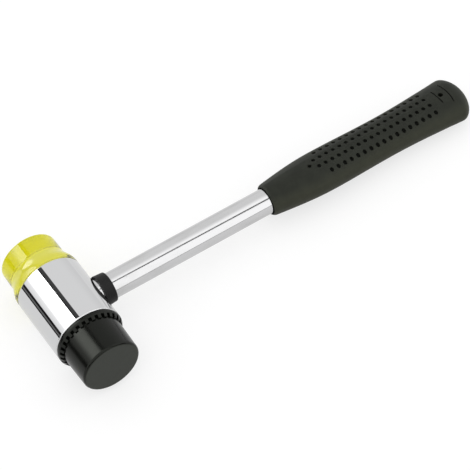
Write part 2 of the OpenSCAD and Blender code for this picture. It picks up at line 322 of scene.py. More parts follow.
    def piece(self, name: str, node: str, finish: "Finish", bench: "Bench", cuts: int = 0) -> None:
        """Finishes the mesh, lays it down and puts it in place of its node.

        Args:
            name: The piece's name.
            node: The node that it stands for.
            finish: What it is finished with.
            bench: The record and the hammer's lie.
            cuts: Levels of subdivision of a soft piece, or 0 for one that keeps its sharp edges.
        """
        self.weld()
        bmesh.ops.recalc_face_normals(self.mesh, faces=self.mesh.faces[:])
        for face in self.mesh.faces:
            face.smooth = True
        for edge in self.mesh.edges:
            edge.smooth = cuts > 0 or edge.calc_face_angle(0.0) < SHARP
        open_edges = sum(not edge.is_manifold for edge in self.mesh.edges)
        bmesh.ops.transform(self.mesh, matrix=bench.rest.matrix, verts=self.mesh.verts[:])
        data = bpy.data.meshes.new(name)
        self.mesh.to_mesh(data)
        self.mesh.free()
        piece = bpy.data.objects.new(name, data)
        bpy.context.scene.collection.objects.link(piece)
        data.materials.append(finish.material(bench.rest))
        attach(piece, bench.record.bodies[node])
        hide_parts(node)
        if cuts > 0:
            smooth = piece.modifiers.new("smooth", "SUBSURF")
            smooth.levels = smooth.render_levels = cuts
        else:
            even_shading(piece)
        log.info("%s: %d faces, %d open edges, for %s", name, len(data.polygons), open_edges, node)


def even_shading(piece: bpy.types.Object) -> None:
    """Lets the large faces rule the shading, so that narrow roundings don't bend it.

    Args:
        piece: The piece to shade.
    """
    shading = piece.modifiers.new("even_shading", "WEIGHTED_NORMAL")
    shading.keep_sharp = True
    shading.weight = EVEN_WEIGHT


Value = Union["Signal", float, int]


class Signal:
    """An output socket; arithmetic on it adds Math nodes to its tree."""

    def __init__(self, paint: "Paint", socket: bpy.types.NodeSocket) -> None:
        """Wraps a socket.

        Args:
            paint: The tree that the socket is in.
            socket: The socket.
        """
        self.paint = paint
        self.socket = socket

    def math(self, operation: str, first: Value, second: Value = 0.0) -> "Signal":
        """Adds one Math node."""
        return self.paint.node("ShaderNodeMath", {"operation": operation}, {0: first, 1: second})

    def __add__(self, other: Value) -> "Signal":
        """Adds a value."""
        return self.math("ADD", self, other)

    __radd__ = __add__

    def __sub__(self, other: Value) -> "Signal":
        """Takes a value away."""
        return self.math("SUBTRACT", self, other)

    def __rsub__(self, other: Value) -> "Signal":
        """Takes this away from a value."""
        return self.math("SUBTRACT", other, self)

    def __mul__(self, other: Value) -> "Signal":
        """Multiplies by a value."""
        return self.math("MULTIPLY", self, other)

    __rmul__ = __mul__

    def __abs__(self) -> "Signal":
        """The value without its sign."""
        return self.math("ABSOLUTE", self)

    def step(self, low: Value, high: Value) -> "Signal":
        """Goes smoothly from 0 at low to 1 at high."""
        sockets = {"Value": self, "From Min": low, "From Max": high}
        return self.paint.node("ShaderNodeMapRange", {"interpolation_type": "SMOOTHSTEP"}, sockets)


@dataclass(frozen=True)
class Grain:
    """A noise: size of a grain, octaves of finer noise, and how many times longer it is along each axis."""

    size: float
    detail: float
    stretch: Colour = (1.0, 1.0, 1.0)


@dataclass(frozen=True)
class Relief:
    """A bump: its depth, and how strongly it shows."""

    depth: float
    strength: float


class Paint:
    """A node tree that is being wired."""

    mix_colours: ClassVar[tuple[int, int]] = (6, 7)
    mix_result: ClassVar[int] = 2

    def __init__(self, tree: bpy.types.NodeTree) -> None:
        """Clears the tree.

        Args:
            tree: The tree of a material or a world.
        """
        self.tree = tree
        tree.nodes.clear()

    def node(
        self, kind: str, settings: Mapping[str, Any], sockets: Mapping[Union[str, int], Any],
        output: Union[str, int] = 0,
    ) -> Signal:
        """Adds one node.

        Args:
            kind: The node's type.
            settings: Its settings, which are set first.
            sockets: Values or links of its input sockets, by name or number.
            output: The output socket that is wanted.

        Returns:
            That output.
        """
        made = self.tree.nodes.new(kind)
        for name, value in settings.items():
            setattr(made, name, value)
        for name, value in sockets.items():
            if isinstance(value, Signal):
                self.tree.links.new(value.socket, made.inputs[name])
            else:
                made.inputs[name].default_value = value
        return Signal(self, made.outputs[output]) if made.outputs else Signal(self, made.inputs[0])

    def own_axes(self, rest: Rest) -> Signal:
        """Turns Object coordinates into the hammer's own axes.

        Args:
            rest: How the hammer lies.

        Returns:
            The turned coordinates.
        """
        place = self.node("ShaderNodeTexCoord", {}, {}, "Object")
        sockets = {"Vector": place, "Location": rest.head, "Rotation": (0, rest.tilt, 0)}
        return self.node("ShaderNodeMapping", {"vector_type": "TEXTURE"}, sockets)

    def axis(self, vector: Signal, name: str) -> Signal:
        """One component, X, Y or Z, of a vector."""
        return self.node("ShaderNodeSeparateXYZ", {}, {"Vector": vector}, name)

    def grain(self, vector: Signal, grain: Grain) -> Signal:
        """Makes a noise.

        Args:
            vector: The coordinates.
            grain: The noise's grain.

        Returns:
            The noise, about 0.5 all over.
        """
        stretched = {"Vector": vector, "Scale": grain.stretch}
        scaled = self.node("ShaderNodeMapping", {"vector_type": "TEXTURE"}, stretched)
        sockets = {"Vector": scaled, "Scale": 1 / grain.size, "Detail": grain.detail}
        return self.node("ShaderNodeTexNoise", {}, sockets)

    def blend(self, share: Signal, first: Any, second: Any) -> Signal:
        """Mixes two colours, from the first at 0 to the second at 1."""
        sockets = {"Factor": share, **dict(zip(self.mix_colours, (first, second)))}
        return self.node("ShaderNodeMix", {"data_type": "RGBA"}, sockets, self.mix_result)

    def bump(self, height: Signal, relief: Relief) -> Signal:
        """Makes a bump from a height."""
        sockets = {"Height": height, "Distance": relief.depth, "Strength": relief.strength}
        return self.node("ShaderNodeBump", {}, sockets)

    def surface(self, sockets: Mapping[str, Any]) -> None:
        """Ends the tree in a Principled shader."""
        shader = self.node("ShaderNodeBsdfPrincipled", {}, sockets)
        self.node("ShaderNodeOutputMaterial", {}, {"Surface": shader})


def rgba(colour: Colour) -> tuple[float, float, float, float]:
    """A colour with full alpha."""
    return (*colour, 1.0)


def grey(level: float) -> tuple[float, float, float, float]:
    """A grey with full alpha."""
    return rgba((level, level, level))


class Finish:
    """What a piece is made of and how its surface looks."""

    name: str

    def material(self, rest: Rest) -> bpy.types.Material:
        """Makes the finish's material.

        Args:
            rest: How the hammer lies.

        Returns:
            The material.
        """
        made = bpy.data.materials.new(self.name)
        made.use_nodes = True
        paint = Paint(made.node_tree)
        self.wire(paint, paint.own_axes(rest))
        return made

    def wire(self, paint: Paint, here: Signal) -> None:
        """Wires the nodes.

        Args:
            paint: The material's tree.
            here: Coordinates in the hammer's own axes.
        """
        raise NotImplementedError


@dataclass(frozen=True)
class BarrelChrome(Finish):
    """Mirror chromium plate, with faint polishing marks round the barrel and rims dulled by handling."""

    name: ClassVar[str] = "barrel_chrome"
    middle: float
    half_length: float
    rim_width: float = 1.6 * MM
    tint: Colour = (0.665, 0.668, 0.675)
    worn_tint: Colour = (0.56, 0.555, 0.55)
    marks: Grain = Grain(0.35 * MM, 3.0, (30.0, 1.0, 30.0))
    relief: Relief = Relief(0.002 * MM, 0.25)
    smears: Grain = Grain(9 * MM, 3.0)
    smear_span: Span = (0.5, 0.75)
    wear: Grain = Grain(1.2 * MM, 4.0)
    wear_span: Span = (0.4, 0.7)
    roughness: float = 0.022
    rough_marks: float = 0.02
    rough_smears: float = 0.035
    rough_wear: float = 0.12

    def wire(self, paint: Paint, here: Signal) -> None:
        """Wires polish, smears and rims dulled by wear.

        Args:
            paint: The material's tree.
            here: Coordinates in the hammer's own axes.
        """
        marks = paint.grain(here, self.marks)
        smears = paint.grain(here, self.smears).step(*self.smear_span)
        from_end = self.half_length - abs(paint.axis(here, "Y") - self.middle)
        rim = 1 - from_end.step(0.0, self.rim_width)
        wear = rim * paint.grain(here, self.wear).step(*self.wear_span)
        polish = self.roughness + self.rough_marks * marks
        paint.surface({
            "Base Color": paint.blend(wear, rgba(self.tint), rgba(self.worn_tint)),
            "Metallic": 1.0,
            "Roughness": polish + self.rough_smears * smears + self.rough_wear * wear,
            "Normal": paint.bump(marks, self.relief),
        })


@dataclass(frozen=True)
class TubeChrome(Finish):
    """Chromium plate over drawn tube, with fine lines along it."""

    name: ClassVar[str] = "tube_chrome"
    tint: Colour = (0.62, 0.62, 0.625)
    dull_tint: Colour = (0.55, 0.55, 0.55)
    lines: Grain = Grain(0.25 * MM, 3.0, (120.0, 1.0, 1.0))
    relief: Relief = Relief(0.003 * MM, 0.35)
    smears: Grain = Grain(7 * MM, 3.0, (3.0, 1.0, 1.0))
    dull_span: Span = (0.45, 0.8)
    smear_span: Span = (0.45, 0.75)
    roughness: float = 0.05
    rough_lines: float = 0.05
    rough_smears: float = 0.05

    def wire(self, paint: Paint, here: Signal) -> None:
        """Wires the drawn lines and the smears.

        Args:
            paint: The material's tree.
            here: Coordinates in the hammer's own axes.
        """
        lines = paint.grain(here, self.lines)
        smears = paint.grain(here, self.smears)
        dulled = smears.step(*self.dull_span)
        drawn = self.roughness + self.rough_lines * lines
        paint.surface({
            "Base Color": paint.blend(dulled, rgba(self.tint), rgba(self.dull_tint)),
            "Metallic": 1.0,
            "Roughness": drawn + self.rough_smears * smears.step(*self.smear_span),
            "Normal": paint.bump(lines, self.relief),
        })


@dataclass(frozen=True)
class ClearPlastic(Finish):
    """Clear cellulose plastic, tinted acid yellow all through, with moulding ripples and light scuffs."""

    name: ClassVar[str] = "clear_yellow"
    tint: Colour = (0.98, 0.955, 0.12)
    # painted light: a paler colour on the skirt, standing in for the light and reflections that it shows
    skirt_lit_tint: Colour = (0.985, 0.985, 0.86)
    skirt_lit_span: Span = (30.0 * MM, 33.5 * MM)
    scuffed: Colour = (1.0, 1.0, 0.8)
    scuffs: Grain = Grain(0.5 * MM, 4.0, (1.0, 3.0, 1.0))
    scuff_span: Span = (0.55, 0.75)
    scuff_share: float = 0.25
    struck_span: Span = (39.0 * MM, 43.2 * MM)
    ripples: Grain = Grain(5 * MM, 1.0)
    relief: Relief = Relief(0.03 * MM, 0.2)
    roughness: float = 0.03
    rough_ripples: float = 0.02
    rough_scuffs: float = 0.1
    ior: float = 1.48
    clarity: float = 0.94
    absorbed: Colour = (0.975, 0.967, 0.0)
    density: float = 95.0

    def wire(self, paint: Paint, here: Signal) -> None:
        """Wires the clear shader, with painted light on the skirt, and the absorption inside.

        Args:
            paint: The material's tree.
            here: Coordinates in the hammer's own axes.
        """
        ripples = paint.grain(here, self.ripples)
        along = paint.axis(here, "Y")
        scuffs = paint.grain(here, self.scuffs).step(*self.scuff_span) * along.step(*self.struck_span)
        # painted light on the skirt
        skirt = 1 - along.step(*self.skirt_lit_span)
        body = paint.blend(skirt, rgba(self.tint), rgba(self.skirt_lit_tint))
        shader = paint.node("ShaderNodeBsdfPrincipled", {}, {
            "Base Color": paint.blend(scuffs * self.scuff_share, body, rgba(self.scuffed)),
            "Roughness": self.roughness + self.rough_ripples * ripples + self.rough_scuffs * scuffs,
            "IOR": self.ior,
            "Transmission Weight": self.clarity,
            "Normal": paint.bump(ripples, self.relief),
        })
        inside = paint.node("ShaderNodeVolumeAbsorption", {}, {
            "Color": rgba(self.absorbed),
            "Density": self.density,
        })
        paint.node("ShaderNodeOutputMaterial", {}, {"Surface": shader, "Volume": inside})


@dataclass(frozen=True)
class FaceRubber(Finish):
    """Hard black rubber with a satin skin, mottled a little, and dulled where it strikes."""

    name: ClassVar[str] = "face_rubber"
    end: float
    dull_depth: float = 0.3 * MM
    dark: Colour = (0.0008, 0.0009, 0.0006)
    pale: Colour = (0.0022, 0.0025, 0.0018)
    # paler colour of the striking end, worn by blows
    paler: Colour = (0.033, 0.036, 0.03)
    paler_share: float = 0.75
    mottle: Grain = Grain(3 * MM, 4.0)
    skin: Grain = Grain(0.22 * MM, 3.0)
    relief: Relief = Relief(0.006 * MM, 0.25)
    scuffs: Grain = Grain(1.4 * MM, 5.0)
    scuff_span: Span = (0.5, 0.72)
    roughness: float = 0.17
    rough_mottle: float = 0.08
    rough_struck: float = 0.22
    rough_scuffs: float = 0.08
    gloss: float = 0.23
    sheen: Colour = (0.95, 1.0, 0.9)

    def wire(self, paint: Paint, here: Signal) -> None:
        """Wires the mottle, the skin and the dulled end.

        Args:
            paint: The material's tree.
            here: Coordinates in the hammer's own axes.
        """
        mottle = paint.grain(here, self.mottle)
        skin = paint.grain(here, self.skin)
        struck = (self.end - paint.axis(here, "Y")).step(-self.dull_depth, 0.0)
        scuffs = paint.grain(here, self.scuffs).step(*self.scuff_span)
        paler = struck * (self.paler_share + (1 - self.paler_share) * scuffs)
        skin_tint = paint.blend(mottle, rgba(self.dark), rgba(self.pale))
        satin = self.roughness + self.rough_mottle * mottle
        paint.surface({
            "Base Color": paint.blend(paler, skin_tint, rgba(self.paler)),
            "Roughness": satin + self.rough_struck * struck + self.rough_scuffs * scuffs * struck,
            "Specular IOR Level": self.gloss,
            "Specular Tint": rgba(self.sheen),
            "Normal": paint.bump(skin, self.relief),
        })


@dataclass(frozen=True)
class GripRubber(Finish):
    """Matt charcoal rubber with a fine moulded grain, painted light on its flanks and painted shade in its
    hollows.
    """

    name: ClassVar[str] = "grip_rubber"
    dark: Colour = (0.0045, 0.0053, 0.0034)
    pale: Colour = (0.0095, 0.0107, 0.0075)
    # painted light: a paler colour for the flanks, mottled, standing in for the light that falls on them
    paler: Colour = (0.0305, 0.0317, 0.0205)
    paler_share: float = 0.55
    flank_light_span: Span = (3.5 * MM, 8.5 * MM)
    # painted shade: a near-black colour for the dimples, the grooves and the bore
    hollow_shade: Colour = (0.0005, 0.0005, 0.0005)
    hollow_shade_span: Span = (0.03, 0.28)
    mottle: Grain = Grain(6 * MM, 4.0)
    mottle_span: Span = (0.3, 0.7)
    grain: Grain = Grain(0.3 * MM, 3.0)
    relief: Relief = Relief(0.03 * MM, 0.5)
    roughness: float = 0.48
    rough_grain: float = 0.12
    rough_mottle: float = 0.06
    rough_hollow: float = 0.35
    gloss: float = 0.3
    sheen: Colour = (0.96, 1.0, 0.88)

    def wire(self, paint: Paint, here: Signal) -> None:
        """Wires the grain, the mottle, the painted light on the flanks and the painted shade in the hollows.

        Args:
            paint: The material's tree.
            here: Coordinates in the hammer's own axes.
        """
        mottle = paint.grain(here, self.mottle)
        grain = paint.grain(here, self.grain)
        # marks of painted shade, set on the dimples, the grooves and the bore
        depth = paint.node("ShaderNodeAttribute", {"attribute_name": Grip.shade_layer}, {}, "Fac")
        rubber = paint.blend(mottle.step(*self.mottle_span), rgba(self.dark), rgba(self.pale))
        # painted light: the flanks, near the middle height, are made paler and mottled
        flank = 1 - abs(paint.axis(here, "Z")).step(*self.flank_light_span)
        flank_light = flank * (self.paler_share + (1 - self.paler_share) * mottle)
        flank_lit_rubber = paint.blend(flank_light, rubber, rgba(self.paler))
        # painted shade in the marked hollows
        sunk = depth.step(*self.hollow_shade_span)
        matt = self.roughness + self.rough_grain * grain + self.rough_mottle * mottle
        paint.surface({
            "Base Color": paint.blend(sunk, flank_lit_rubber, rgba(self.hollow_shade)),
            "Roughness": matt + self.rough_hollow * sunk,
            "Specular IOR Level": self.gloss,
            "Specular Tint": rgba(self.sheen),
            "Normal": paint.bump(grain, self.relief),
        })


@dataclass(frozen=True)
class CollarPlastic(Finish):
    """Black moulded plastic with a fine spark-eroded texture."""

    name: ClassVar[str] = "collar_plastic"
    dark: Colour = (0.004, 0.004, 0.004)
    pale: Colour = (0.009, 0.009, 0.0087)
    texture: Grain = Grain(0.28 * MM, 4.0)
    relief: Relief = Relief(0.03 * MM, 0.5)
    mottle: Grain = Grain(2.5 * MM, 3.0)
    roughness: float = 0.42
    rough_texture: float = 0.15
    gloss: float = 0.22

    def wire(self, paint: Paint, here: Signal) -> None:
        """Wires the eroded texture.

        Args:
            paint: The material's tree.
            here: Coordinates in the hammer's own axes.
        """
        texture = paint.grain(here, self.texture)
        mottle = paint.grain(here, self.mottle)
        paint.surface({
            "Base Color": paint.blend(mottle, rgba(self.dark), rgba(self.pale)),
            "Roughness": self.roughness + self.rough_texture * texture,
            "Specular IOR Level": self.gloss,
            "Normal": paint.bump(texture, self.relief),
        })


@dataclass(frozen=True)
class Moulding(Finish):
    """Plain pale moulded plastic, as on the washer under the clear face and the tube's plug."""

    name: str
    tint: Colour
    shade: Colour
    flow: Grain = Grain(2 * MM, 3.0, (1.0, 3.0, 1.0))
    skin: Grain = Grain(0.2 * MM, 2.0)
    relief: Relief = Relief(0.01 * MM, 0.4)
    roughness: float = 0.42
    rough_flow: float = 0.15

    def wire(self, paint: Paint, here: Signal) -> None:
        """Wires faint flow marks and a soft skin.

        Args:
            paint: The material's tree.
            here: Coordinates in the hammer's own axes.
        """
        flow = paint.grain(here, self.flow)
        skin = paint.grain(here, self.skin)
        paint.surface({
            "Base Color": paint.blend(flow, rgba(self.tint), rgba(self.shade)),
            "Roughness": self.roughness + self.rough_flow * flow,
            "Normal": paint.bump(skin, self.relief),
        })


@dataclass(frozen=True)
class PressedFibre(Finish):
    """Black vulcanised fibre, with short flecks lying flat in it."""

    name: ClassVar[str] = "pressed_fibre"
    dark: Colour = (0.018, 0.017, 0.016)
    fleck: Colour = (0.07, 0.064, 0.055)
    flecks: Grain = Grain(0.3 * MM, 4.0, (4.0, 0.6, 2.0))
    fleck_span: Span = (0.5, 0.8)
    relief: Relief = Relief(0.02 * MM, 0.5)
    roughness: float = 0.62
    rough_flecks: float = 0.2

    def wire(self, paint: Paint, here: Signal) -> None:
        """Wires the flecks.

        Args:
            paint: The material's tree.
            here: Coordinates in the hammer's own axes.
        """
        flecks = paint.grain(here, self.flecks).step(*self.fleck_span)
        paint.surface({
            "Base Color": paint.blend(flecks, rgba(self.dark), rgba(self.fleck)),
            "Roughness": self.roughness + self.rough_flecks * flecks,
            "Normal": paint.bump(flecks, self.relief),
        })


@dataclass(frozen=True)
class BareSteel(Finish):
    """Steel with turning marks round it and patches of duller plate or oil."""

    name: str
    tint: Colour
    patch: Colour
    roughness: float
    marks: Grain = Grain(0.12 * MM, 2.0, (20.0, 1.0, 20.0))
    relief: Relief = Relief(0.006 * MM, 0.4)
    patches: Grain = Grain(2.5 * MM, 4.0)
    patch_span: Span = (0.35, 0.7)
    rough_patches: float = 0.12
    rough_marks: float = 0.08

    def wire(self, paint: Paint, here: Signal) -> None:
        """Wires the marks and the patches.

        Args:
            paint: The material's tree.
            here: Coordinates in the hammer's own axes.
        """
        marks = paint.grain(here, self.marks)
        patches = paint.grain(here, self.patches)
        patched = patches.step(*self.patch_span)
        paint.surface({
            "Base Color": paint.blend(patched, rgba(self.tint), rgba(self.patch)),
            "Metallic": 1.0,
            "Roughness": self.roughness + self.rough_patches * patches + self.rough_marks * marks,
            "Normal": paint.bump(marks, self.relief),
        })


WHITE_NYLON = Moulding("white_nylon", (0.85, 0.85, 0.82), (0.76, 0.76, 0.72))
IVORY_PLUG = Moulding("ivory_plug", (0.72, 0.7, 0.62), (0.64, 0.61, 0.52))
ZINC_STEEL = BareSteel("zinc_steel", (0.64, 0.64, 0.62), (0.52, 0.53, 0.52), 0.22)
SPRING_STEEL = BareSteel("spring_steel", (0.34, 0.35, 0.37), (0.24, 0.24, 0.25), 0.3)


@dataclass(frozen=True)
class Bench:
    """What every sub-assembly needs: the record, the hammer's lie, its thread and the barrel's ends."""

    record: Record
    rest: Rest
    screw: Screw
    clear_end: float
    rubber_end: float

    @classmethod
    def set_up(cls, record: Record) -> "Bench":
        """Reads the lie, and the ends of the barrel, where the faces' hinges are, from the record.

        Args:
            record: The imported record's tables.

        Returns:
            The bench.
        """
        rest = Rest.read(record)
        hinges = [record.joints[name]["pos_m"][1] for name in ("clear_face_turn", "rubber_face_turn")]
        clear_end, rubber_end = (abs(hinge - rest.head[1]) for hinge in hinges)
        return cls(record, rest, Screw(), clear_end, rubber_end)


@dataclass(frozen=True)
class Head:
    """The plated barrel, tapped at both ends and bored across for the handle."""

    bench: Bench
    radius: float = 19.99 * MM
    rim_r: float = 0.8 * MM
    recess_r: float = 13.8 * MM
    recess_depth: float = 1.25 * MM
    tapped_r: float = 10.1 * MM
    tapped_depth: float = 10.38 * MM
    thread_crest_r: float = 8.85 * MM
    thread_relief: float = 0.9 * MM
    thread_lead: float = 0.4 * MM
    thread_top_gap: float = 0.1 * MM
    thread_foot_gap: float = 0.3 * MM
    thread_thinning: float = 0.06
    pin_hole_r: float = 2.52 * MM
    pin_hole_depth: float = 1.7 * MM
    handle_bore_r: float = 7.62 * MM
    handle_bore_end: float = -13.0 * MM
    patch: float = 8.6 * MM
    patch_cuts: int = 18
    steps: int = 192

    def build(self) -> None:
        """Makes the barrel."""
        clear, rubber = self.bench.clear_end, self.bench.rubber_end
        blank = Blank()
        blank.turn(self.outline(clear, -rubber), Line.BARREL, self.steps)
        for way, end in ((1, clear), (-1, rubber)):
            self.tap(blank, way, end)
        self.bore(blank)
        chrome = BarrelChrome((clear - rubber) / 2, (clear + rubber) / 2)
        blank.piece("barrel_plated", "head_barrel", chrome, self.bench)

    def outline(self, clear: float, rubber: float) -> list[Corner]:
        """The barrel's outer skin and end faces, with cuts where the handle's bore will go.

        Args:
            clear: Where the clear face's end lies along the barrel's line.
            rubber: Where the rubber face's end lies.

        Returns:
            The outline's corners, from one tapped bore to the other.
        """
        cuts = [self.patch * (1 - 2 * i / self.patch_cuts) for i in range(self.patch_cuts + 1)]
        return [
            Corner(clear - self.recess_depth, self.tapped_r),
            Corner(clear - self.recess_depth, self.recess_r),
            Corner(clear, self.recess_r),
            Corner(clear, self.radius, self.rim_r),
            *[Corner(cut, self.radius) for cut in cuts],
            Corner(rubber, self.radius, self.rim_r),
            Corner(rubber, self.recess_r),
            Corner(rubber + self.recess_depth, self.recess_r),
            Corner(rubber + self.recess_depth, self.tapped_r),
        ]

    def tapped_ridge(self) -> list[tuple[float, float]]:
        """One pitch of the tapped thread, half a pitch on from the stud's and a little thinner.

        Returns:
            Its corners, as shares of the pitch and radii.
        """
        ridge = self.bench.screw.ridge(self.tapped_r, self.thread_crest_r)

        def moved(share: float) -> float:
            """A corner's new share; all but the two ends are drawn towards the ridge's middle."""
            thin = 1 - self.thread_thinning if 0 < share < 1 else 1.0
            return 1 + (share - 0.5) * thin

        return [(moved(share), radius) for share, radius in ridge]

    def tap(self, blank: Blank, way: int, end: float) -> None:
        """Gives one end its thread and the bottom of its bore, with the pin's hole in the middle.

        Args:
            blank: The barrel.
            way: 1 for the clear end and -1 for the rubber end.
            end: How far that end lies from the handle's line.
        """
        mouth, bottom = end - self.recess_depth, end - self.tapped_depth
        lip = blank.rim(lambda p: abs(p.y * way - mouth) < WELD)
        start, stop = bottom + self.thread_relief, mouth - self.thread_lead
        low, high = blank.thread(self.bench.screw, self.tapped_ridge(), start, stop, way)
        top = blank.reach(high, way * (mouth - self.thread_top_gap), self.tapped_r)
        bmesh.ops.bridge_loops(blank.mesh, edges=top + lip)
        rim = low
        for along, radius in (
            (bottom + self.thread_foot_gap, self.tapped_r),
            (bottom, self.tapped_r),
            (bottom, self.pin_hole_r),
            (bottom - self.pin_hole_depth, self.pin_hole_r),
        ):
            rim = blank.reach(rim, way * along, radius)
        blank.close(rim)

    def bore(self, blank: Blank) -> None:
        """Opens the blind bore that the handle's tube sits in.

        Args:
            blank: The barrel.
        """
        blank.weld()
        skin = self.radius * math.cos(math.pi / self.steps) * SKIN_SHARE

        def covered(face: BMFace) -> bool:
            """Tells whether a face of the outer skin lies where the bore opens.

            Args:
                face: The face.

            Returns:
                Whether it does.
            """
            centre = face.calc_center_median()
            outside = Line.BARREL.spoke(centre).length > skin
            return outside and centre.x > 0 and abs(centre.y) < self.patch and abs(centre.z) < self.patch

        gone = [face for face in blank.mesh.faces if covered(face)]
        bmesh.ops.delete(blank.mesh, geom=gone, context="FACES")
        edge = blank.rim(lambda p: p.x > 0)

        def on_skin(point: Vector) -> Vector:
            """The bore's rim, on the barrel's skin."""
            across = Vector((0, point.y, point.z)).normalized() * self.handle_bore_r
            return Vector((math.sqrt(self.radius ** 2 - across.z ** 2), across.y, across.z))

        rim = blank.grow(edge, on_skin)
        blank.close(blank.grow(rim, lambda p: Vector((self.handle_bore_end, p.y, p.z))))


@dataclass(frozen=True)
class ClearFace:
    """The clear face with its threaded stud, and the washer under it."""

    bench: Bench
    length: float = 23.1 * MM
    base_r: float = 17.25 * MM
    end_r: float = 17.1 * MM
    skirt_r: float = 19.9 * MM
    band_l: float = 2.0 * MM
    skirt_l: float = 12.0 * MM
    foot_l: float = 0.4 * MM
    foot_r: float = 0.2 * MM
    neck_r: float = 0.3 * MM
    skirt_steps: int = 20
    edge_r: float = 0.9 * MM
    seat_gap: float = 0.05 * MM
    steps: int = 160

    def build(self) -> None:
        """Makes the face and its washer."""
        stud = Stud(self.bench.screw, self.bench.clear_end, 1)
        blank = Blank()
        blank.turn(self.outline(stud), Line.BARREL, self.steps)
        blank.close(stud.cut(blank, blank.rim(lambda p: True)))
        blank.piece("face_clear", "clear_face", ClearPlastic(), self.bench)
        Washer(self.bench, stud.end, 1).build("washer_nylon", "clear_face_washer", WHITE_NYLON)

    def outline(self, stud: "Stud") -> list[Corner]:
        """The face's outline.

        Args:
            stud: The stud that the face is moulded in one with.

        Returns:
            The outline's corners, from the neck to the middle of the striking end.
        """
        start = stud.end
        run = self.skirt_l - self.band_l

        def skirt(share: float) -> Corner:
            """A point of the flared skirt."""
            radius = self.base_r + (self.skirt_r - self.base_r) * (1 + math.cos(math.pi * share)) / 2
            return Corner(start + self.band_l + run * share, radius)

        return [
            Corner(start - stud.neck_l / 2, stud.core_r),
            Corner(start + self.seat_gap, stud.core_r, self.neck_r),
            Corner(start + self.seat_gap, self.skirt_r - self.foot_l / 2, self.foot_r / 2),
            Corner(start + self.foot_l, self.skirt_r, self.foot_r),
            *[skirt(i / self.skirt_steps) for i in range(self.skirt_steps + 1)],
            Corner(start + self.length, self.end_r, self.edge_r),
            Corner(start + self.length, 0.0),
        ]


@dataclass(frozen=True)
class Stud:
    """The threaded stud that a face screws in by: neck, thread and chamfered tip."""

    screw: Screw
    end: float
    way: int
    length: float = 9.38 * MM
    neck_l: float = 2.0 * MM
    tip_l: float = 0.8 * MM
    core_r: float = 8.25 * MM
    run_out: float = 0.35 * MM

    def cut(self, blank: Blank, neck: Sequence[BMEdge]) -> list[BMEdge]:
        """Winds the thread and joins it to the face's neck.

        Args:
            blank: The face's mesh.
            neck: The open rim of the neck.

        Returns:
            The open rim at the stud's tip.
        """
        foot = self.end - self.length
        ridge = self.screw.ridge(self.screw.root_r, self.screw.crest_r)
        low, high = blank.thread(self.screw, ridge, foot + self.tip_l, self.end - self.neck_l, self.way)
        shoulder = self.end - self.neck_l + self.run_out
        top = blank.reach(high, self.way * shoulder, self.core_r)
        bmesh.ops.bridge_loops(blank.mesh, edges=top + list(neck))
        return blank.reach(low, self.way * foot, self.core_r)


@dataclass(frozen=True)
class Washer:
    """A flat washer let into one end of the barrel."""

    bench: Bench
    end: float
    way: int
    outer_r: float = 13.5 * MM
    hole_r: float = 10.3 * MM
    thickness: float = 1.2 * MM
    edge_r: float = 0.15 * MM
    steps: int = 96

    def build(self, name: str, node: str, finish: Finish) -> None:
        """Makes the washer.

        Args:
            name: The piece's name.
            node: The node that it stands for.
            finish: What it is made of.
        """
        blank = Blank()
        top, bottom = self.way * self.end, self.way * (self.end - self.thickness)
        corners = [(bottom, self.hole_r), (bottom, self.outer_r), (top, self.outer_r), (top, self.hole_r)]
        outline = [Corner(along, radius, self.edge_r) for along, radius in corners]
        blank.turn(outline, Line.BARREL, self.steps, closed=True)
        blank.piece(name, node, finish, self.bench)


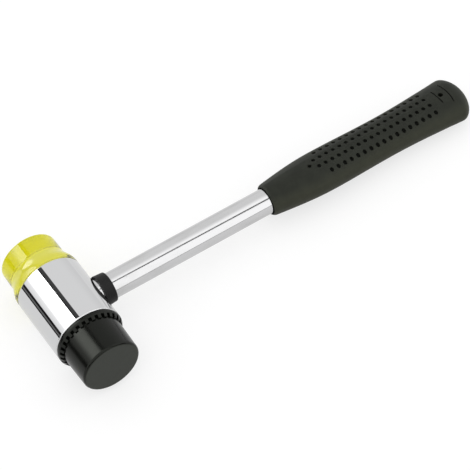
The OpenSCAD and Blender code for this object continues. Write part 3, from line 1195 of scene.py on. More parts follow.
@dataclass(frozen=True)
class RubberFace:
    """The rubber face with its toothed rim, the steel stud inside it and the washer under it."""

    bench: Bench
    length: float = 24.3 * MM
    base_r: float = 17.65 * MM
    end_r: float = 17.15 * MM
    rim_r: float = 19.9 * MM
    rim_foot_l: float = 1.8 * MM
    rim_edge_r: float = 0.15 * MM
    shadow_l: float = 0.5 * MM
    shadow_depth: float = 0.9 * MM
    rim_taper: float = 1.4 * MM
    band_l: float = 2.6 * MM
    tab_l: float = 1.8 * MM
    tab_count: int = 30
    steps_per_tab: int = 8
    edge_r: float = 1.6 * MM
    tab_edge_r: float = 0.16 * MM
    tab_edge_steps: int = 2
    seat_gap: float = 0.05 * MM
    fit_gap: float = 0.02 * MM
    head_r: float = 13.5 * MM
    head_t: float = 3.5 * MM
    cover: float = 2.6 * MM
    key_r: float = 3.0 * MM
    key_count: int = 6
    head_steps: int = 144

    def build(self) -> None:
        """Makes the face, its stud and its washer."""
        stud = Stud(self.bench.screw, self.bench.rubber_end, -1)
        blank = Blank()
        blank.turn(self.outline(stud), Line.BARREL, self.tab_count * self.steps_per_tab)
        self.notch(blank)
        blank.piece("face_rubber", "rubber_face", FaceRubber(self.place(self.length)), self.bench)
        self.build_stud(stud)
        Washer(self.bench, stud.end, -1).build("washer_fibre", "rubber_face_washer", PressedFibre())

    def place(self, outward: float) -> float:
        """The place along the barrel's line at a distance out from the barrel's end."""
        return -self.bench.rubber_end - outward

    def cone(self, outward: float) -> float:
        """Radius of the rim's taper at a distance out from the barrel's end."""
        share = (outward - self.rim_foot_l) / (self.band_l + self.tab_l - self.rim_foot_l)
        return self.rim_r - self.rim_taper * share

    def outline(self, stud: Stud) -> list[Corner]:
        """The face's outline.

        Args:
            stud: The stud that the face holds.

        Returns:
            The outline's corners, from the top of the stud's pocket round to the striking end.
        """
        gap = self.fit_gap
        rim_l = self.band_l + self.tab_l
        corners = [
            (self.cover + self.head_t + gap, 0.0, 0.0),
            (self.cover + self.head_t + gap, self.head_r + gap, 0.0),
            (self.cover - gap, self.head_r + gap, 0.0),
            (self.cover - gap, stud.core_r + gap, 0.0),
            (self.seat_gap, stud.core_r + gap, 0.0),
            (self.seat_gap, self.rim_r - self.shadow_depth, 0.0),
            (self.shadow_l, self.rim_r - self.shadow_depth, 0.0),
            (self.shadow_l, self.rim_r, self.rim_edge_r),
            (self.rim_foot_l, self.rim_r, 0.0),
            (self.band_l, self.cone(self.band_l), 0.0),
            (rim_l, self.cone(rim_l), 0.0),
            (rim_l, self.base_r, 0.0),
            (self.length, self.end_r, self.edge_r),
            (self.length, 0.0, 0.0),
        ]
        return [Corner(self.place(outward), radius, rounding) for outward, radius, rounding in corners]

    def notch(self, blank: Blank) -> None:
        """Cuts the notches between the rim's tabs and rounds the tabs' edges.

        Args:
            blank: The face's mesh.
        """
        top, floor = self.place(self.band_l + self.tab_l), self.place(self.band_l)
        pitch = FULL_TURN / self.tab_count

        def between_tabs(point: Vector) -> bool:
            """Whether a place round the rim lies in a notch."""
            return math.atan2(point.z, point.x) % pitch < pitch / 2

        def wall(face: BMFace) -> bool:
            """Tells whether a face is part of the rim's outer wall between the tabs.

            Args:
                face: The face.

            Returns:
                Whether it is.
            """
            centre = face.calc_center_median()
            skin = self.cone(-self.bench.rubber_end - centre.y) * SKIN_SHARE
            on_rim = Line.BARREL.spoke(centre).length > skin
            return on_rim and top < centre.y < floor and between_tabs(centre)

        def sunk(point: Vector) -> Vector:
            """Where a point of the tabs' ends goes at the bottom of a notch."""
            outer = Line.BARREL.spoke(point).length > self.base_r + WELD
            return Line.BARREL.moved(point, floor, self.cone(self.band_l) if outer else self.base_r)

        def at_tab(vert: BMVert) -> bool:
            """Whether a point lies on the outside of a tab."""
            beyond = Line.BARREL.spoke(vert.co).length > self.base_r + self.tab_edge_r
            return beyond and top - WELD < vert.co.y < floor + WELD

        mesh = blank.mesh
        ends = [face for face in mesh.faces if all(abs(vert.co.y - top) < WELD for vert in face.verts)]
        ledge = [face for face in ends if between_tabs(face.calc_center_median())]
        made = bmesh.ops.extrude_face_region(mesh, geom=ledge)["geom"]
        bmesh.ops.delete(mesh, geom=ledge, context="FACES")
        for vert in made:
            if isinstance(vert, BMVert):
                vert.co = sunk(vert.co)
        bmesh.ops.delete(mesh, geom=[face for face in mesh.faces if wall(face)], context="FACES")
        blank.weld()
        bmesh.ops.recalc_face_normals(mesh, faces=mesh.faces[:])
        edges = [
            edge for edge in mesh.edges
            if edge.is_manifold and edge.is_convex and edge.calc_face_angle(0.0) > SHARP
            and all(at_tab(vert) for vert in edge.verts)
        ]
        bmesh.ops.bevel(
            mesh, geom=edges, offset=self.tab_edge_r, offset_type="OFFSET", segments=self.tab_edge_steps,
            profile=0.5, affect="EDGES", material=-1, clamp_overlap=True,
        )

    def build_stud(self, stud: Stud) -> None:
        """Makes the steel stud, whose scalloped head is keyed into the rubber.

        Args:
            stud: The threaded part.
        """
        blank = Blank()
        line = Line.BARREL
        middle = line.at(self.place(-stud.neck_l / 2), 0)
        ring = bmesh.ops.create_circle(
            blank.mesh, cap_ends=False, radius=stud.core_r, segments=self.head_steps,
            matrix=Matrix.Translation(middle) @ Matrix.Rotation(math.pi / 2, 4, "X"),
        )["verts"]
        neck = list({edge for vert in ring for edge in vert.link_edges})
        below, above = self.place(self.cover), self.place(self.cover + self.head_t)
        root = blank.reach(neck, below, stud.core_r)
        under = blank.grow(root, lambda p: line.moved(p, below, self.scallop(p)))
        over = blank.grow(under, lambda p: line.moved(p, above, self.scallop(p)))
        blank.close(over)
        blank.close(stud.cut(blank, blank.rim(lambda p: True)))
        blank.piece("stud_steel", "rubber_face_stud", ZINC_STEEL, self.bench)

    def scallop(self, point: Vector) -> float:
        """Radius of the stud's head at the angle of a point, less inside a scallop.

        Args:
            point: Any point off the barrel's line.

        Returns:
            The radius.
        """
        pitch = FULL_TURN / self.key_count
        off = (math.atan2(point.z, point.x) + pitch / 2) % pitch - pitch / 2
        across = self.head_r * math.sin(off)
        if abs(across) >= self.key_r:
            return self.head_r
        return min(self.head_r, self.head_r * math.cos(off) - math.sqrt(self.key_r ** 2 - across ** 2))


@dataclass(frozen=True)
class Handle:
    """The plated tube, the rolled pin that locks it, its collar and the plug in its far end."""

    bench: Bench
    barrel_r: float = 20.0 * MM
    start: float = -12.98 * MM
    end: float = 237.98 * MM
    tube_r: float = 7.6 * MM
    wall: float = 1.5 * MM
    edge_r: float = 0.3 * MM
    fit_gap: float = 0.02 * MM
    collar_r: float = 9.22 * MM
    collar_tip_r: float = 8.72 * MM
    collar_l: float = 6.7 * MM
    collar_gap: float = 0.05 * MM
    collar_edge_r: float = 0.9 * MM
    pin_r: float = 2.5 * MM
    pin_wall: float = 1.0 * MM
    pin_half_l: float = 9.32 * MM
    pin_slot: float = 1.0 * MM
    plug_l: float = 14.0 * MM
    flange_t: float = 2.0 * MM
    steps: int = 128

    def build(self) -> None:
        """Makes the four pieces."""
        self.build_tube()
        self.build_collar()
        self.build_pin()
        self.build_plug()

    def ring(self, low: float, high: float, outer: float, wall: float, rounding: float) -> list[Corner]:
        """The outline of a plain ring.

        Args:
            low: Where the ring starts along its line.
            high: Where it ends.
            outer: Its outer radius.
            wall: How thick it is.
            rounding: The rounding of its corners.

        Returns:
            The four corners, from the inner low one.
        """
        places = ((low, outer - wall), (low, outer), (high, outer), (high, outer - wall))
        return [Corner(along, radius, rounding) for along, radius in places]

    def build_tube(self) -> None:
        """Makes the tube."""
        blank = Blank()
        outline = self.ring(self.start, self.end, self.tube_r, self.wall, self.edge_r)
        blank.turn(outline, Line.HANDLE, self.steps, closed=True)
        blank.piece("tube_plated", "handle_tube", TubeChrome(), self.bench)

    def build_collar(self) -> None:
        """Makes the collar, a ring with a flat end at the barrel and a rounded one towards the grip."""
        blank = Blank()
        low = self.barrel_r + self.collar_gap
        inner, small = self.tube_r + self.fit_gap, self.edge_r / 2
        blank.turn([
            Corner(low, inner, small),
            Corner(low, self.collar_r, small),
            Corner(low + self.collar_l, self.collar_tip_r, self.collar_edge_r),
            Corner(low + self.collar_l, inner, small / 2),
        ], Line.HANDLE, self.steps, closed=True)
        blank.piece("collar_moulded", "handle_collar", CollarPlastic(), self.bench)

    def build_pin(self) -> None:
        """Makes the rolled pin, open along one side."""
        blank = Blank()
        outline = self.ring(-self.pin_half_l, self.pin_half_l, self.pin_r, self.pin_wall, self.edge_r / 2)
        gap = 2 * math.asin(self.pin_slot / 2 / self.pin_r)
        blank.turn(outline, Line.BARREL, self.steps // 2, closed=True, angle=FULL_TURN - gap)
        bmesh.ops.holes_fill(blank.mesh, edges=blank.rim(lambda p: True), sides=0)
        blank.piece("pin_rolled", "handle_pin", SPRING_STEEL, self.bench)

    def build_plug(self) -> None:
        """Makes the plug in the tube's far end."""
        blank = Blank()
        body_r = self.tube_r - self.wall - self.fit_gap
        seat = self.end + self.fit_gap
        tip = seat + self.flange_t
        blank.turn([
            Corner(seat - self.plug_l, 0.0),
            Corner(seat - self.plug_l, body_r, self.edge_r),
            Corner(seat, body_r),
            Corner(seat, self.tube_r, self.edge_r / 2),
            Corner(tip, self.tube_r, self.edge_r),
            Corner(tip, 0.0),
        ], Line.HANDLE, self.steps // 2)
        blank.piece("plug_moulded", "tube_end_plug", IVORY_PLUG, self.bench)


@dataclass(frozen=True)
class Column:
    """A line of the cage along the grip: its side, its face, a line on the flat and a share of the flank."""

    side: int
    face: int
    line: int
    share: float = 1.0


@dataclass(frozen=True)
class Station:
    """One ring of the grip's cage: its place, half sizes, lines across the flat sides, bow and slant."""

    along: float
    half_w: float
    half_t: float
    lines: Lines
    bow: float = 0.0
    slant: float = 0.0

    def point(self, column: Column) -> Vector:
        """The cage's point on one of its columns.

        Args:
            column: The column.

        Returns:
            The point.
        """
        line = self.lines[column.line]
        angle = math.acos(max(-1.0, min(1.0, line / self.half_w))) * column.share
        across = self.half_w * math.cos(angle) * column.side
        height = self.half_t * math.sin(angle) * column.face
        bowed = self.bow * max(0.0, 1 - (line / self.lines[-1]) ** 2) if column.share == 1 else 0.0
        return Vector((self.along + bowed - self.slant * across * column.share, across, height))


class Cage:
    """The grip's control mesh: rings along the handle, columns round the oval and the faces between."""

    def __init__(self, stations: Sequence[Station], columns: Sequence[Column], inside: int) -> None:
        """Weaves the mesh.

        Args:
            stations: The rings, in order.
            columns: The columns, in order round the oval.
            inside: How many of the rings lie in the bore and round the lip.
        """
        self.stations, self.columns, self.inside = stations, columns, inside
        self.blank = Blank()
        self.mesh = self.blank.mesh
        rows, lanes = len(stations) - 1, len(columns)
        bmesh.ops.create_grid(self.mesh, x_segments=lanes, y_segments=rows, size=0.5)
        row_layer = self.mesh.faces.layers.int.new("row")
        lane_layer = self.mesh.faces.layers.int.new("lane")
        for face in self.mesh.faces:
            centre = face.calc_center_median()
            face[lane_layer] = math.floor((centre.x + 0.5) * lanes)
            face[row_layer] = math.floor((centre.y + 0.5) * rows)
        for vert in self.mesh.verts:
            column = columns[round((vert.co.x + 0.5) * lanes) % lanes]
            vert.co = stations[round((vert.co.y + 0.5) * rows)].point(column)
        self.blank.weld()
        bmesh.ops.recalc_face_normals(self.mesh, faces=self.mesh.faces[:])
        self.cells = {(face[row_layer], face[lane_layer]): face for face in self.mesh.faces}

    def row(self, along: float) -> int:
        """The row of faces on the outside that holds a place along the handle."""
        places = [station.along for station in self.stations]
        return next(i for i in range(self.inside, len(places) - 1) if places[i] <= along < places[i + 1])

    def faces(self, along: float, pairs: Sequence[tuple[int, int]], face: int = 0) -> list[BMFace]:
        """Faces of one row that lie between given lines.

        Args:
            along: A place along the handle that the row holds.
            pairs: Pairs of neighbouring lines; a pair of equal lines is the middle of a flat side.
            face: 1 or -1 for one flat side only, or 0 for both.

        Returns:
            The faces.
        """
        wanted = {frozenset(pair) for pair in pairs}
        row = self.row(along)
        found = []
        for lane, column in enumerate(self.columns):
            after = self.columns[(lane + 1) % len(self.columns)]
            flat = column.share == 1 and after.share == 1 and face in (0, column.face)
            if flat and frozenset((column.line, after.line)) in wanted:
                found.append(self.cells[row, lane])
        return found

    def inset(self, faces: Sequence[BMFace], thickness: float, depth: float) -> None:
        """Insets each face by itself."""
        bmesh.ops.inset_individual(
            self.mesh, faces=list(faces), thickness=thickness, depth=depth, use_even_offset=True
        )

    def paint_shade(self, faces: Sequence[BMFace]) -> None:
        """Marks the points of sunk faces, where the finish paints shade.

        Args:
            faces: The sunk faces.
        """
        layers = self.mesh.verts.layers.float
        layer = layers.get(Grip.shade_layer) or layers.new(Grip.shade_layer)
        for vert in {vert for face in faces for vert in face.verts}:
            vert[layer] = 1.0


@dataclass(frozen=True)
class Grip:
    """The oval rubber sleeve, with dimples on its flat sides, a hang hole and two grooves at the butt."""

    # vertex layer that marks where shade is painted
    shade_layer: ClassVar[str] = "hollow_shade"
    flare_shares: ClassVar[tuple[Span, ...]] = ((1.0, 0.0), (1 / 2, 1 / 5), (1 / 6, 2 / 3), (0.0, 1.0))
    lip_shares: ClassVar[tuple[Span, ...]] = ((1 / 12, 1 / 2), (2 / 5, 1 / 7))
    shoulder_shares: ClassVar[Shares] = (1.2, 3.0)
    taper_shares: ClassVar[Shares] = (0.2, 0.4, 0.6, 0.8)
    flank_shares: ClassVar[Shares] = (0.0, 1 / 3, 2 / 3)
    line_count: ClassVar[int] = 4
    bench: Bench
    reach: float = 262.0 * MM
    length: float = 133.8 * MM
    thickness: float = 19.2 * MM
    mouth_r: float = 9.5 * MM
    lip_r: float = 1.2 * MM
    flare: float = 1.05 * MM
    flare_l: float = 1.8 * MM
    lip_rings: int = 4
    bore_r: float = 7.62 * MM
    bore_ring: float = 7.2 * MM
    bore_end: float = 240.02 * MM
    swell_w: float = 27.5 * MM
    swell_at: float = 37.8 * MM
    waist_w: float = 25.7 * MM
    waist_at: float = 78.8 * MM
    butt_w: float = 31.4 * MM
    dome_h: float = 8.7 * MM
    dome_round: float = 1.7
    dome_steps: int = 10
    hole_r: float = 1.6 * MM
    hole_wall_share: float = 1 / 12
    hole_at: float = 15.2 * MM
    dimple_pitch: float = 4.42 * MM
    dimple_rows: float = 5.3 * MM
    dimple_columns: int = 18
    dimple_end_at: float = 24.8 * MM
    dimple_r: float = 1.15 * MM
    dimple_wall: float = 0.115 * MM
    dimple_depth: float = 1.6 * MM
    dimple_steps: int = 3
    lone_share: float = 0.33
    row_slant: float = 0.114
    far_slant_share: float = 0.5
    groove_w: float = 0.9 * MM
    groove_wall: float = 0.1 * MM
    groove_depth: float = 0.7 * MM
    groove_before: float = 2.4 * MM
    groove_after: float = 3.6 * MM
    groove_bow: float = 0.75 * MM
    butt_bow_share: float = 0.25
    panel_lines: tuple[float, float, float] = (4.0 * MM, 5.5 * MM, 8.0 * MM)
    fullness: float = 1.006
    fullness_t: float = 1.0045
    round_share: float = 0.66
    cuts: int = 2

    def build(self) -> None:
        """Makes the sleeve."""
        inside = self.bore_stations()
        cage = Cage(inside + self.side_stations() + self.butt_stations(), self.columns(), len(inside))
        self.groove(cage)
        self.dimple(cage)
        self.pierce(cage)
        self.shade_bore(cage)
        cage.blank.piece("grip_sleeve_rubber", "grip_sleeve", GripRubber(), self.bench, self.cuts)

    def columns(self) -> list[Column]:
        """The cage's columns.

        Returns:
            The columns in order round the oval, from the +Y flank over the top.
        """
        lines = range(self.line_count)
        made = []
        for side, face in ((1, 1), (-1, -1)):
            made += [Column(side, face, lines[-1], share) for share in self.flank_shares]
            made += [Column(side, face, line) for line in reversed(lines)]
            made += [Column(-side, face, line) for line in lines]
            made += [Column(-side, face, lines[-1], share) for share in reversed(self.flank_shares[1:])]
        return made

    @property
    def mouth(self) -> float:
        """Where the grip's mouth lies along the handle."""
        return self.reach - self.length

    @property
    def butt_at(self) -> float:
        """Distance from the mouth at which the domed end starts."""
        return self.length - self.dome_h

    @property
    def lone_half(self) -> float:
        """Half size of the cell round the single dimple before the rows."""
        return self.lone_share * self.dimple_pitch

    def half_w(self, s: float) -> float:
        """Half width of the grip at a distance from its mouth.

        Args:
            s: The distance.

        Returns:
            The half width.
        """
        if s < self.swell_at:
            share = math.sin(math.pi / 2 * s / self.swell_at)
            return self.mouth_r + (self.swell_w / 2 - self.mouth_r) * share
        if s < self.waist_at:
            run = (s - self.swell_at) / (self.waist_at - self.swell_at)
            share = (1 - math.cos(math.pi * run)) / 2
            return (self.swell_w + (self.waist_w - self.swell_w) * share) / 2
        run = (min(s, self.butt_at) - self.waist_at) / (self.butt_at - self.waist_at)
        share = 1 - math.cos(math.pi / 2 * run)
        return (self.waist_w + (self.butt_w - self.waist_w) * share) / 2

    def half_t(self, s: float) -> float:
        """Half thickness of the grip at a distance from its mouth."""
        share = math.sin(math.pi / 2 * min(1.0, s / self.swell_at))
        return self.mouth_r + (self.thickness / 2 - self.mouth_r) * share

    def lines(self, inner: float, half_w: float) -> Lines:
        """Lines across a flat side that box in the rows of dimples, closer where the grip is narrow.

        Args:
            inner: The line nearest the middle.
            half_w: Half width of the grip there.

        Returns:
            The four lines' distances from the middle.
        """
        half = self.dimple_pitch / 2
        first = self.dimple_rows / 2
        second = first + self.dimple_rows
        scale = min(1.0, half_w / (self.waist_w / 2))
        return inner * scale, (first + half) * scale, (second - half) * scale, (second + half) * scale

    def bore_stations(self) -> list[Station]:
        """The rings inside the grip.

        Returns:
            The rings from the bottom of the bore, out through the flared mouth and over the lip.
        """
        bore_l = self.bore_end - self.mouth
        rings = [(bore_l, POLE), (bore_l, self.bore_r), (self.bore_ring, self.bore_r)]
        rings += [(self.flare_l * s, self.bore_r + self.flare * r) for s, r in self.flare_shares]
        rings += [(self.lip_r * s, self.mouth_r - self.lip_r * r) for s, r in self.lip_shares]
        return [Station(self.mouth + s, r, r, self.lines(self.lone_half, r)) for s, r in rings]

    def side_stations(self) -> list[Station]:
        """The rings along the sides.

        Returns:
            The rings from the lip to the last dimples.
        """
        half = self.dimple_pitch / 2
        middle, lone = self.dimple_rows / 2 - half, self.lone_half
        first = self.length - self.dimple_end_at + half - self.dimple_pitch * self.dimple_columns
        lone_s = first - half

        def ring(s: float, inner: float) -> Station:
            """Makes a ring whose slant grows from the mouth to the dimples.

            Args:
                s: The ring's distance from the mouth.
                inner: Its line nearest the middle.

            Returns:
                The ring.
            """
            half_w, half_t = self.half_w(s) * self.fullness, self.half_t(s) * self.fullness_t
            slant = self.row_slant * min(1.0, s / lone_s)
            return Station(self.mouth + s, half_w, half_t, self.lines(inner, half_w), slant=slant)

        shoulder = [self.lip_r * share for share in self.shoulder_shares]
        taper = [lone_s * share for share in self.taper_shares]
        made = [ring(s, lone) for s in (*shoulder, *taper, lone_s - lone, lone_s + lone)]
        return made + [ring(first + self.dimple_pitch * i, middle) for i in range(self.dimple_columns + 1)]

    def butt_stations(self) -> list[Station]:
        """The rings past the dimples.

        Returns:
            The rings round the grooves and the hang hole, and those of the domed end.
        """
        hole_s = self.length - self.hole_at
        hole_half = self.hole_r / self.round_share / math.sqrt(2)
        half_groove = self.groove_w / 2
        lines = (hole_half, *self.panel_lines)

        def ring(s: float, bow: float = 0.0, slant: float = self.row_slant) -> Station:
            """A ring of the panel that holds the hole."""
            half_w, half_t = self.half_w(s) * self.fullness, self.half_t(s) * self.fullness_t
            return Station(self.mouth + s, half_w, half_t, lines, bow, slant)

        near, far = hole_s - self.groove_before, hole_s + self.groove_after
        far_slant = self.row_slant * self.far_slant_share
        made = [ring(near + half_groove * side) for side in (-3, -1, 1)]
        made += [ring(hole_s + hole_half * side, 0.0, 0.0) for side in (-1, 1)]
        made += [ring(far + half_groove * side, self.groove_bow, far_slant) for side in (-1, 1)]
        made.append(ring(self.butt_at, self.groove_bow * self.butt_bow_share, 0.0))
        for i in range(1, self.dome_steps + 1):
            share = math.sin(math.pi / 2 * i / self.dome_steps)
            shrink = math.sqrt(max(0.0, 1 - share ** self.dome_round)) if i < self.dome_steps else WELD
            half_w = self.butt_w / 2 * shrink * self.fullness
            half_t = self.thickness / 2 * shrink * self.fullness_t
            across = tuple(line * shrink for line in lines)
            made.append(Station(self.mouth + self.butt_at + self.dome_h * share, half_w, half_t, across))
        return made

    def groove(self, cage: Cage) -> None:
        """Sinks the two grooves on either side of the hang hole, on both flat sides.

        Args:
            cage: The grip's cage.
        """
        hole = self.reach - self.hole_at
        short = [(0, 0), (0, 1), (1, 2)]
        grooves = ((hole - self.groove_before, short), (hole + self.groove_after, short + [(2, 3)]))
        for along, pairs in grooves:
            for face in (1, -1):
                strip = cage.faces(along, pairs, face)
                for depth in (0.0, -self.groove_depth):
                    bmesh.ops.inset_region(
                        cage.mesh, faces=strip, thickness=self.groove_wall, depth=depth, use_even_offset=True
                    )
                # painted shade in the grooves
                cage.paint_shade(strip)

    def dimple(self, cage: Cage) -> None:
        """Sinks the dimples: two full rows beside the middle, two shorter ones and one dimple between.

        Args:
            cage: The grip's cage.
        """
        last = self.reach - self.dimple_end_at
        inner, outer = [(0, 1)], [(2, 3)]
        faces = []
        for i in range(self.dimple_columns):
            pairs = inner + outer if i < self.dimple_columns - 1 else inner
            faces += cage.faces(last - self.dimple_pitch * i, pairs)
        side = self.dimple_r / self.round_share * math.sqrt(2)
        self.sink(cage, faces, (self.dimple_pitch - side) / 2)
        lone = cage.faces(last - self.dimple_pitch * self.dimple_columns, [(0, 0)])
        self.sink(cage, lone, self.lone_half - side / 2)

    def sink(self, cage: Cage, faces: list[BMFace], margin: float) -> None:
        """Makes each face the bottom of a round dimple.

        Args:
            cage: The grip's cage.
            faces: The faces.
            margin: Width of the border that is left round each dimple.
        """
        cage.inset(faces, margin - self.dimple_wall, 0.0)
        for step in range(self.dimple_steps):
            cage.inset(faces, self.dimple_wall, -self.dimple_depth * step / self.dimple_steps)
        # painted shade in the dimples
        cage.paint_shade(faces)

    def shade_bore(self, cage: Cage) -> None:
        """Paints shade into the bore up to its lip."""
        last = cage.inside - self.lip_rings
        cage.paint_shade([face for (row, _), face in cage.cells.items() if row < last])

    def pierce(self, cage: Cage) -> None:
        """Opens the hang hole through the butt.

        Args:
            cage: The grip's cage.
        """
        ends = cage.faces(self.reach - self.hole_at, [(0, 0)])
        wall = self.hole_r * self.hole_wall_share
        cage.inset(ends, wall, 0.0)
        cage.inset(ends, wall, -2 * wall)
        bmesh.ops.delete(cage.mesh, geom=ends, context="FACES")
        bmesh.ops.bridge_loops(cage.mesh, edges=cage.blank.rim(lambda p: True))


@dataclass(frozen=True)
class Studio:
    """The photograph's camera, in the hammer's own axes, with a pale floor and a soft white tent."""

    rest: Rest
    azimuth: float = math.radians(-28.38488)
    elevation: float = math.radians(52.49625)
    roll: float = math.radians(-5.5584)
    distance: float = 1400.0 * MM
    aside: float = 90.307 * MM
    above: float = 40.148 * MM
    focal_px: float = 2587.27
    image_px: float = 470.0
    sensor: float = 36.0
    far_clip: float = 28.0
    floor_half: float = 0.44
    floor_drop: float = 0.1 * MM
    floor_diffuse: float = 0.35
    floor_unseen: float = 0.8
    floor_glow: float = 0.68
    floor_mirrored: float = 0.57
    white: float = 1.0
    plain: float = 1.0
    dark: float = 0.01
    edge_soft: float = 0.008
    behind: Span = (0.2, 0.45)
    left_front: float = 1.48
    left_low: float = 1.02
    left_rise: float = 0.42
    left_rise_heights: Span = (0.17, 0.63)
    left_high: float = 4.6
    left_high_heights: Span = (0.38, 0.68)
    right_low: float = 0.86
    right_high: float = 0.94
    right_heights: Span = (0.0, 0.5)
    right_turn: Span = (-0.2, 0.42)
    seam: Colour = (0.89, 0.436, -0.136)
    seam_shift: float = 0.005
    seam_lean: float = 0.037
    seam_edge: float = 0.02
    seam_wide: float = 0.09
    seam_thin: float = 0.03
    seam_grey: float = 0.06
    seam_grey_shares: Span = (-0.6, -0.3)
    gap: Colour = (-0.843, 0.538, 0.0)
    gap_heights: Span = (-0.11, 0.176)
    gap_grey: float = 0.16
    gap_grey_heights: Span = (-0.02, 0.06)
    front: Colour = (0.29, -0.957, 0.0)
    front_grey: float = 0.5
    front_heights: Span = (-0.05, 0.03)
    spread: Span = (0.82, 0.93)
    shade_heights: Span = (-0.11, 0.2)
    shade_beside: Span = (0.1, 0.18)
    shade_before: Span = (-0.5, -0.3)
    panel: Colour = (-0.22, 0.97, 0.1)
    panel_glow: float = 3.0
    panel_spread: Span = (0.96, 0.985)

    def build(self) -> None:
        """Sets up the camera, the floor and the light."""
        scene = bpy.context.scene
        scene.view_settings.view_transform = "Standard"
        scene.camera = self.camera()
        self.floor()
        self.light(scene)

    def camera(self) -> bpy.types.Object:
        """Makes the camera.

        Returns:
            The camera, where the photograph was taken from.
        """
        a, e, r = self.azimuth, self.elevation, self.roll
        back = Vector((math.sin(a) * math.cos(e), -math.cos(a) * math.cos(e), math.sin(e)))
        level = Vector((math.cos(a), math.sin(a), 0))
        upright = back.cross(level)
        right = level * math.cos(r) + upright * math.sin(r)
        up = upright * math.cos(r) - level * math.sin(r)
        eye = back * self.distance + right * self.aside + up * self.above
        turn = Matrix((right, up, back)).transposed().to_4x4()
        data = bpy.data.cameras.new("photo_view")
        data.sensor_width = self.sensor
        data.lens = self.sensor * self.focal_px / self.image_px
        data.clip_end = self.far_clip
        camera = bpy.data.objects.new("photo_view", data)
        camera.matrix_world = self.rest.matrix @ Matrix.Translation(eye) @ turn
        bpy.context.scene.collection.objects.link(camera)
        return camera

    def floor(self) -> None:
        """Makes the floor, which is white to the camera and keeps a faint shadow."""
        mesh = bmesh.new()
        bmesh.ops.create_grid(
            mesh, x_segments=2, y_segments=2, size=self.floor_half,
            matrix=Matrix.Translation((0, 0, -self.floor_drop)),
        )
        data = bpy.data.meshes.new("floor")
        mesh.to_mesh(data)
        mesh.free()
        floor = bpy.data.objects.new("floor", data)
        bpy.context.scene.collection.objects.link(floor)
        made = bpy.data.materials.new("floor_white")
        made.use_nodes = True
        paint = Paint(made.node_tree)
        seen = self.seen(paint, ("Is Camera Ray", "Is Glossy Ray", "Is Transmission Ray"))
        pale = paint.node("ShaderNodeBsdfDiffuse", {}, {"Color": grey(self.floor_diffuse)})
        mirrored = self.seen(paint, ("Is Glossy Ray",))
        strength = self.floor_glow + (self.floor_mirrored - self.floor_glow) * mirrored
        glow = paint.node("ShaderNodeEmission", {}, {"Color": grey(self.white), "Strength": strength})
        lit = paint.node("ShaderNodeAddShader", {}, {0: pale, 1: glow})
        plain = paint.node("ShaderNodeBsdfDiffuse", {}, {"Color": grey(self.floor_unseen)})
        surface = paint.node("ShaderNodeMixShader", {}, {0: seen, 1: plain, 2: lit})
        paint.node("ShaderNodeOutputMaterial", {}, {"Surface": surface})
        data.materials.append(made)

    def seen(self, paint: Paint, rays: Sequence[str]) -> Signal:
        """1 for rays of the given kinds and 0 for others.

        Args:
            paint: The tree.
            rays: The Light Path outputs to add up.

        Returns:
            The sum, held to 1.
        """
        total = paint.node("ShaderNodeLightPath", {}, {}, rays[0])
        for ray in rays[1:]:
            total = total + paint.node("ShaderNodeLightPath", {}, {}, ray)
        return total.math("MINIMUM", total, 1.0)

    def light(self, scene: bpy.types.Scene) -> None:
        """Hangs the tent; reflections see its sheets and gaps, other rays see it plain.

        Args:
            scene: The scene to light.
        """
        world = bpy.data.worlds.new("tent")
        scene.world = world
        world.use_nodes = True
        paint = Paint(world.node_tree)
        reflected = self.seen(paint, ("Is Glossy Ray",))
        through = self.seen(paint, ("Is Camera Ray", "Is Transmission Ray"))
        mirrored = self.plain + (self.tent(paint) - self.plain) * reflected
        shown = mirrored + (self.white - mirrored) * through
        glow = paint.node("ShaderNodeBackground", {}, {"Color": grey(self.white), "Strength": shown})
        paint.node("ShaderNodeOutputWorld", {}, {"Surface": glow})

    def tent(self, paint: Paint) -> Signal:
        """What reflections see: a bright left sheet, a plain right one, a dark seam and two dark gaps.

        Args:
            paint: The world's tree.

        Returns:
            The brightness in a ray's direction.
        """
        ray = paint.node("ShaderNodeTexCoord", {}, {}, "Generated")
        x, y, z = (paint.axis(ray, name) for name in "XYZ")

        def towards(direction: Colour) -> Signal:
            """How far a ray points in a direction."""
            return x * direction[0] + y * direction[1] + z * direction[2]

        def within(value: Signal, low: Value, high: Value) -> Signal:
            """1 between two bounds and 0 outside them, with soft edges."""
            soft = self.edge_soft
            return (value - low).step(-soft, soft) * (1 - (value - high).step(-soft, soft))

        behind = y.step(*self.behind)
        left_top = self.left_high - self.left_low - self.left_rise
        left = self.left_low + self.left_rise * z.step(*self.left_rise_heights)
        left = left + left_top * z.step(*self.left_high_heights)
        left = self.left_front + (left - self.left_front) * behind
        right = self.right_low + (self.right_high - self.right_low) * z.step(*self.right_heights)
        right = self.left_front + (right - self.left_front) * y.step(*self.right_turn)
        off_seam = towards(self.seam) - self.seam_lean * behind - self.seam_shift
        tent = left + (right - left) * off_seam.step(-self.seam_edge, self.seam_edge)
        tent = tent + self.panel_glow * towards(self.panel).step(*self.panel_spread)
        half = self.seam_thin + (self.seam_wide - self.seam_thin) * behind
        grey_from, grey_to = (share * half for share in self.seam_grey_shares)
        seam = self.dark + self.seam_grey * off_seam.step(grey_from, grey_to)
        gap = self.dark + self.gap_grey * within(z, *self.gap_grey_heights)
        in_gap = within(z, *self.gap_heights) * towards(self.gap).step(*self.spread)
        in_front = within(z, *self.front_heights) * towards(self.front).step(*self.spread)
        beside = abs(x - self.front[0]).step(*self.shade_beside) * (1 - y.step(*self.shade_before))
        in_shade = within(z, *self.shade_heights) * beside
        in_seam = within(off_seam, -1 * half, half)
        places = ((in_seam, seam), (in_gap, gap), (in_front, self.front_grey), (in_shade, self.dark))
        for share, level in places:
            tent = tent + (level - tent) * share
        return tent


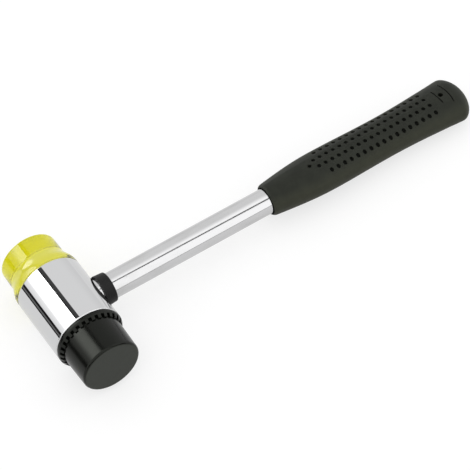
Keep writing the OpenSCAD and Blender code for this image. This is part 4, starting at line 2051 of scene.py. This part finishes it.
def main() -> None:
    """Builds the studio and then the hammer, piece by piece."""
    logging.basicConfig(level=logging.INFO, format="%(name)s %(message)s")
    bench = Bench.set_up(Record(frame["record"]))
    Studio(bench.rest).build()
    for assembly in (Head(bench), ClearFace(bench), RubberFace(bench), Handle(bench), Grip(bench)):
        assembly.build()


if __name__ == "__main__":
    main()
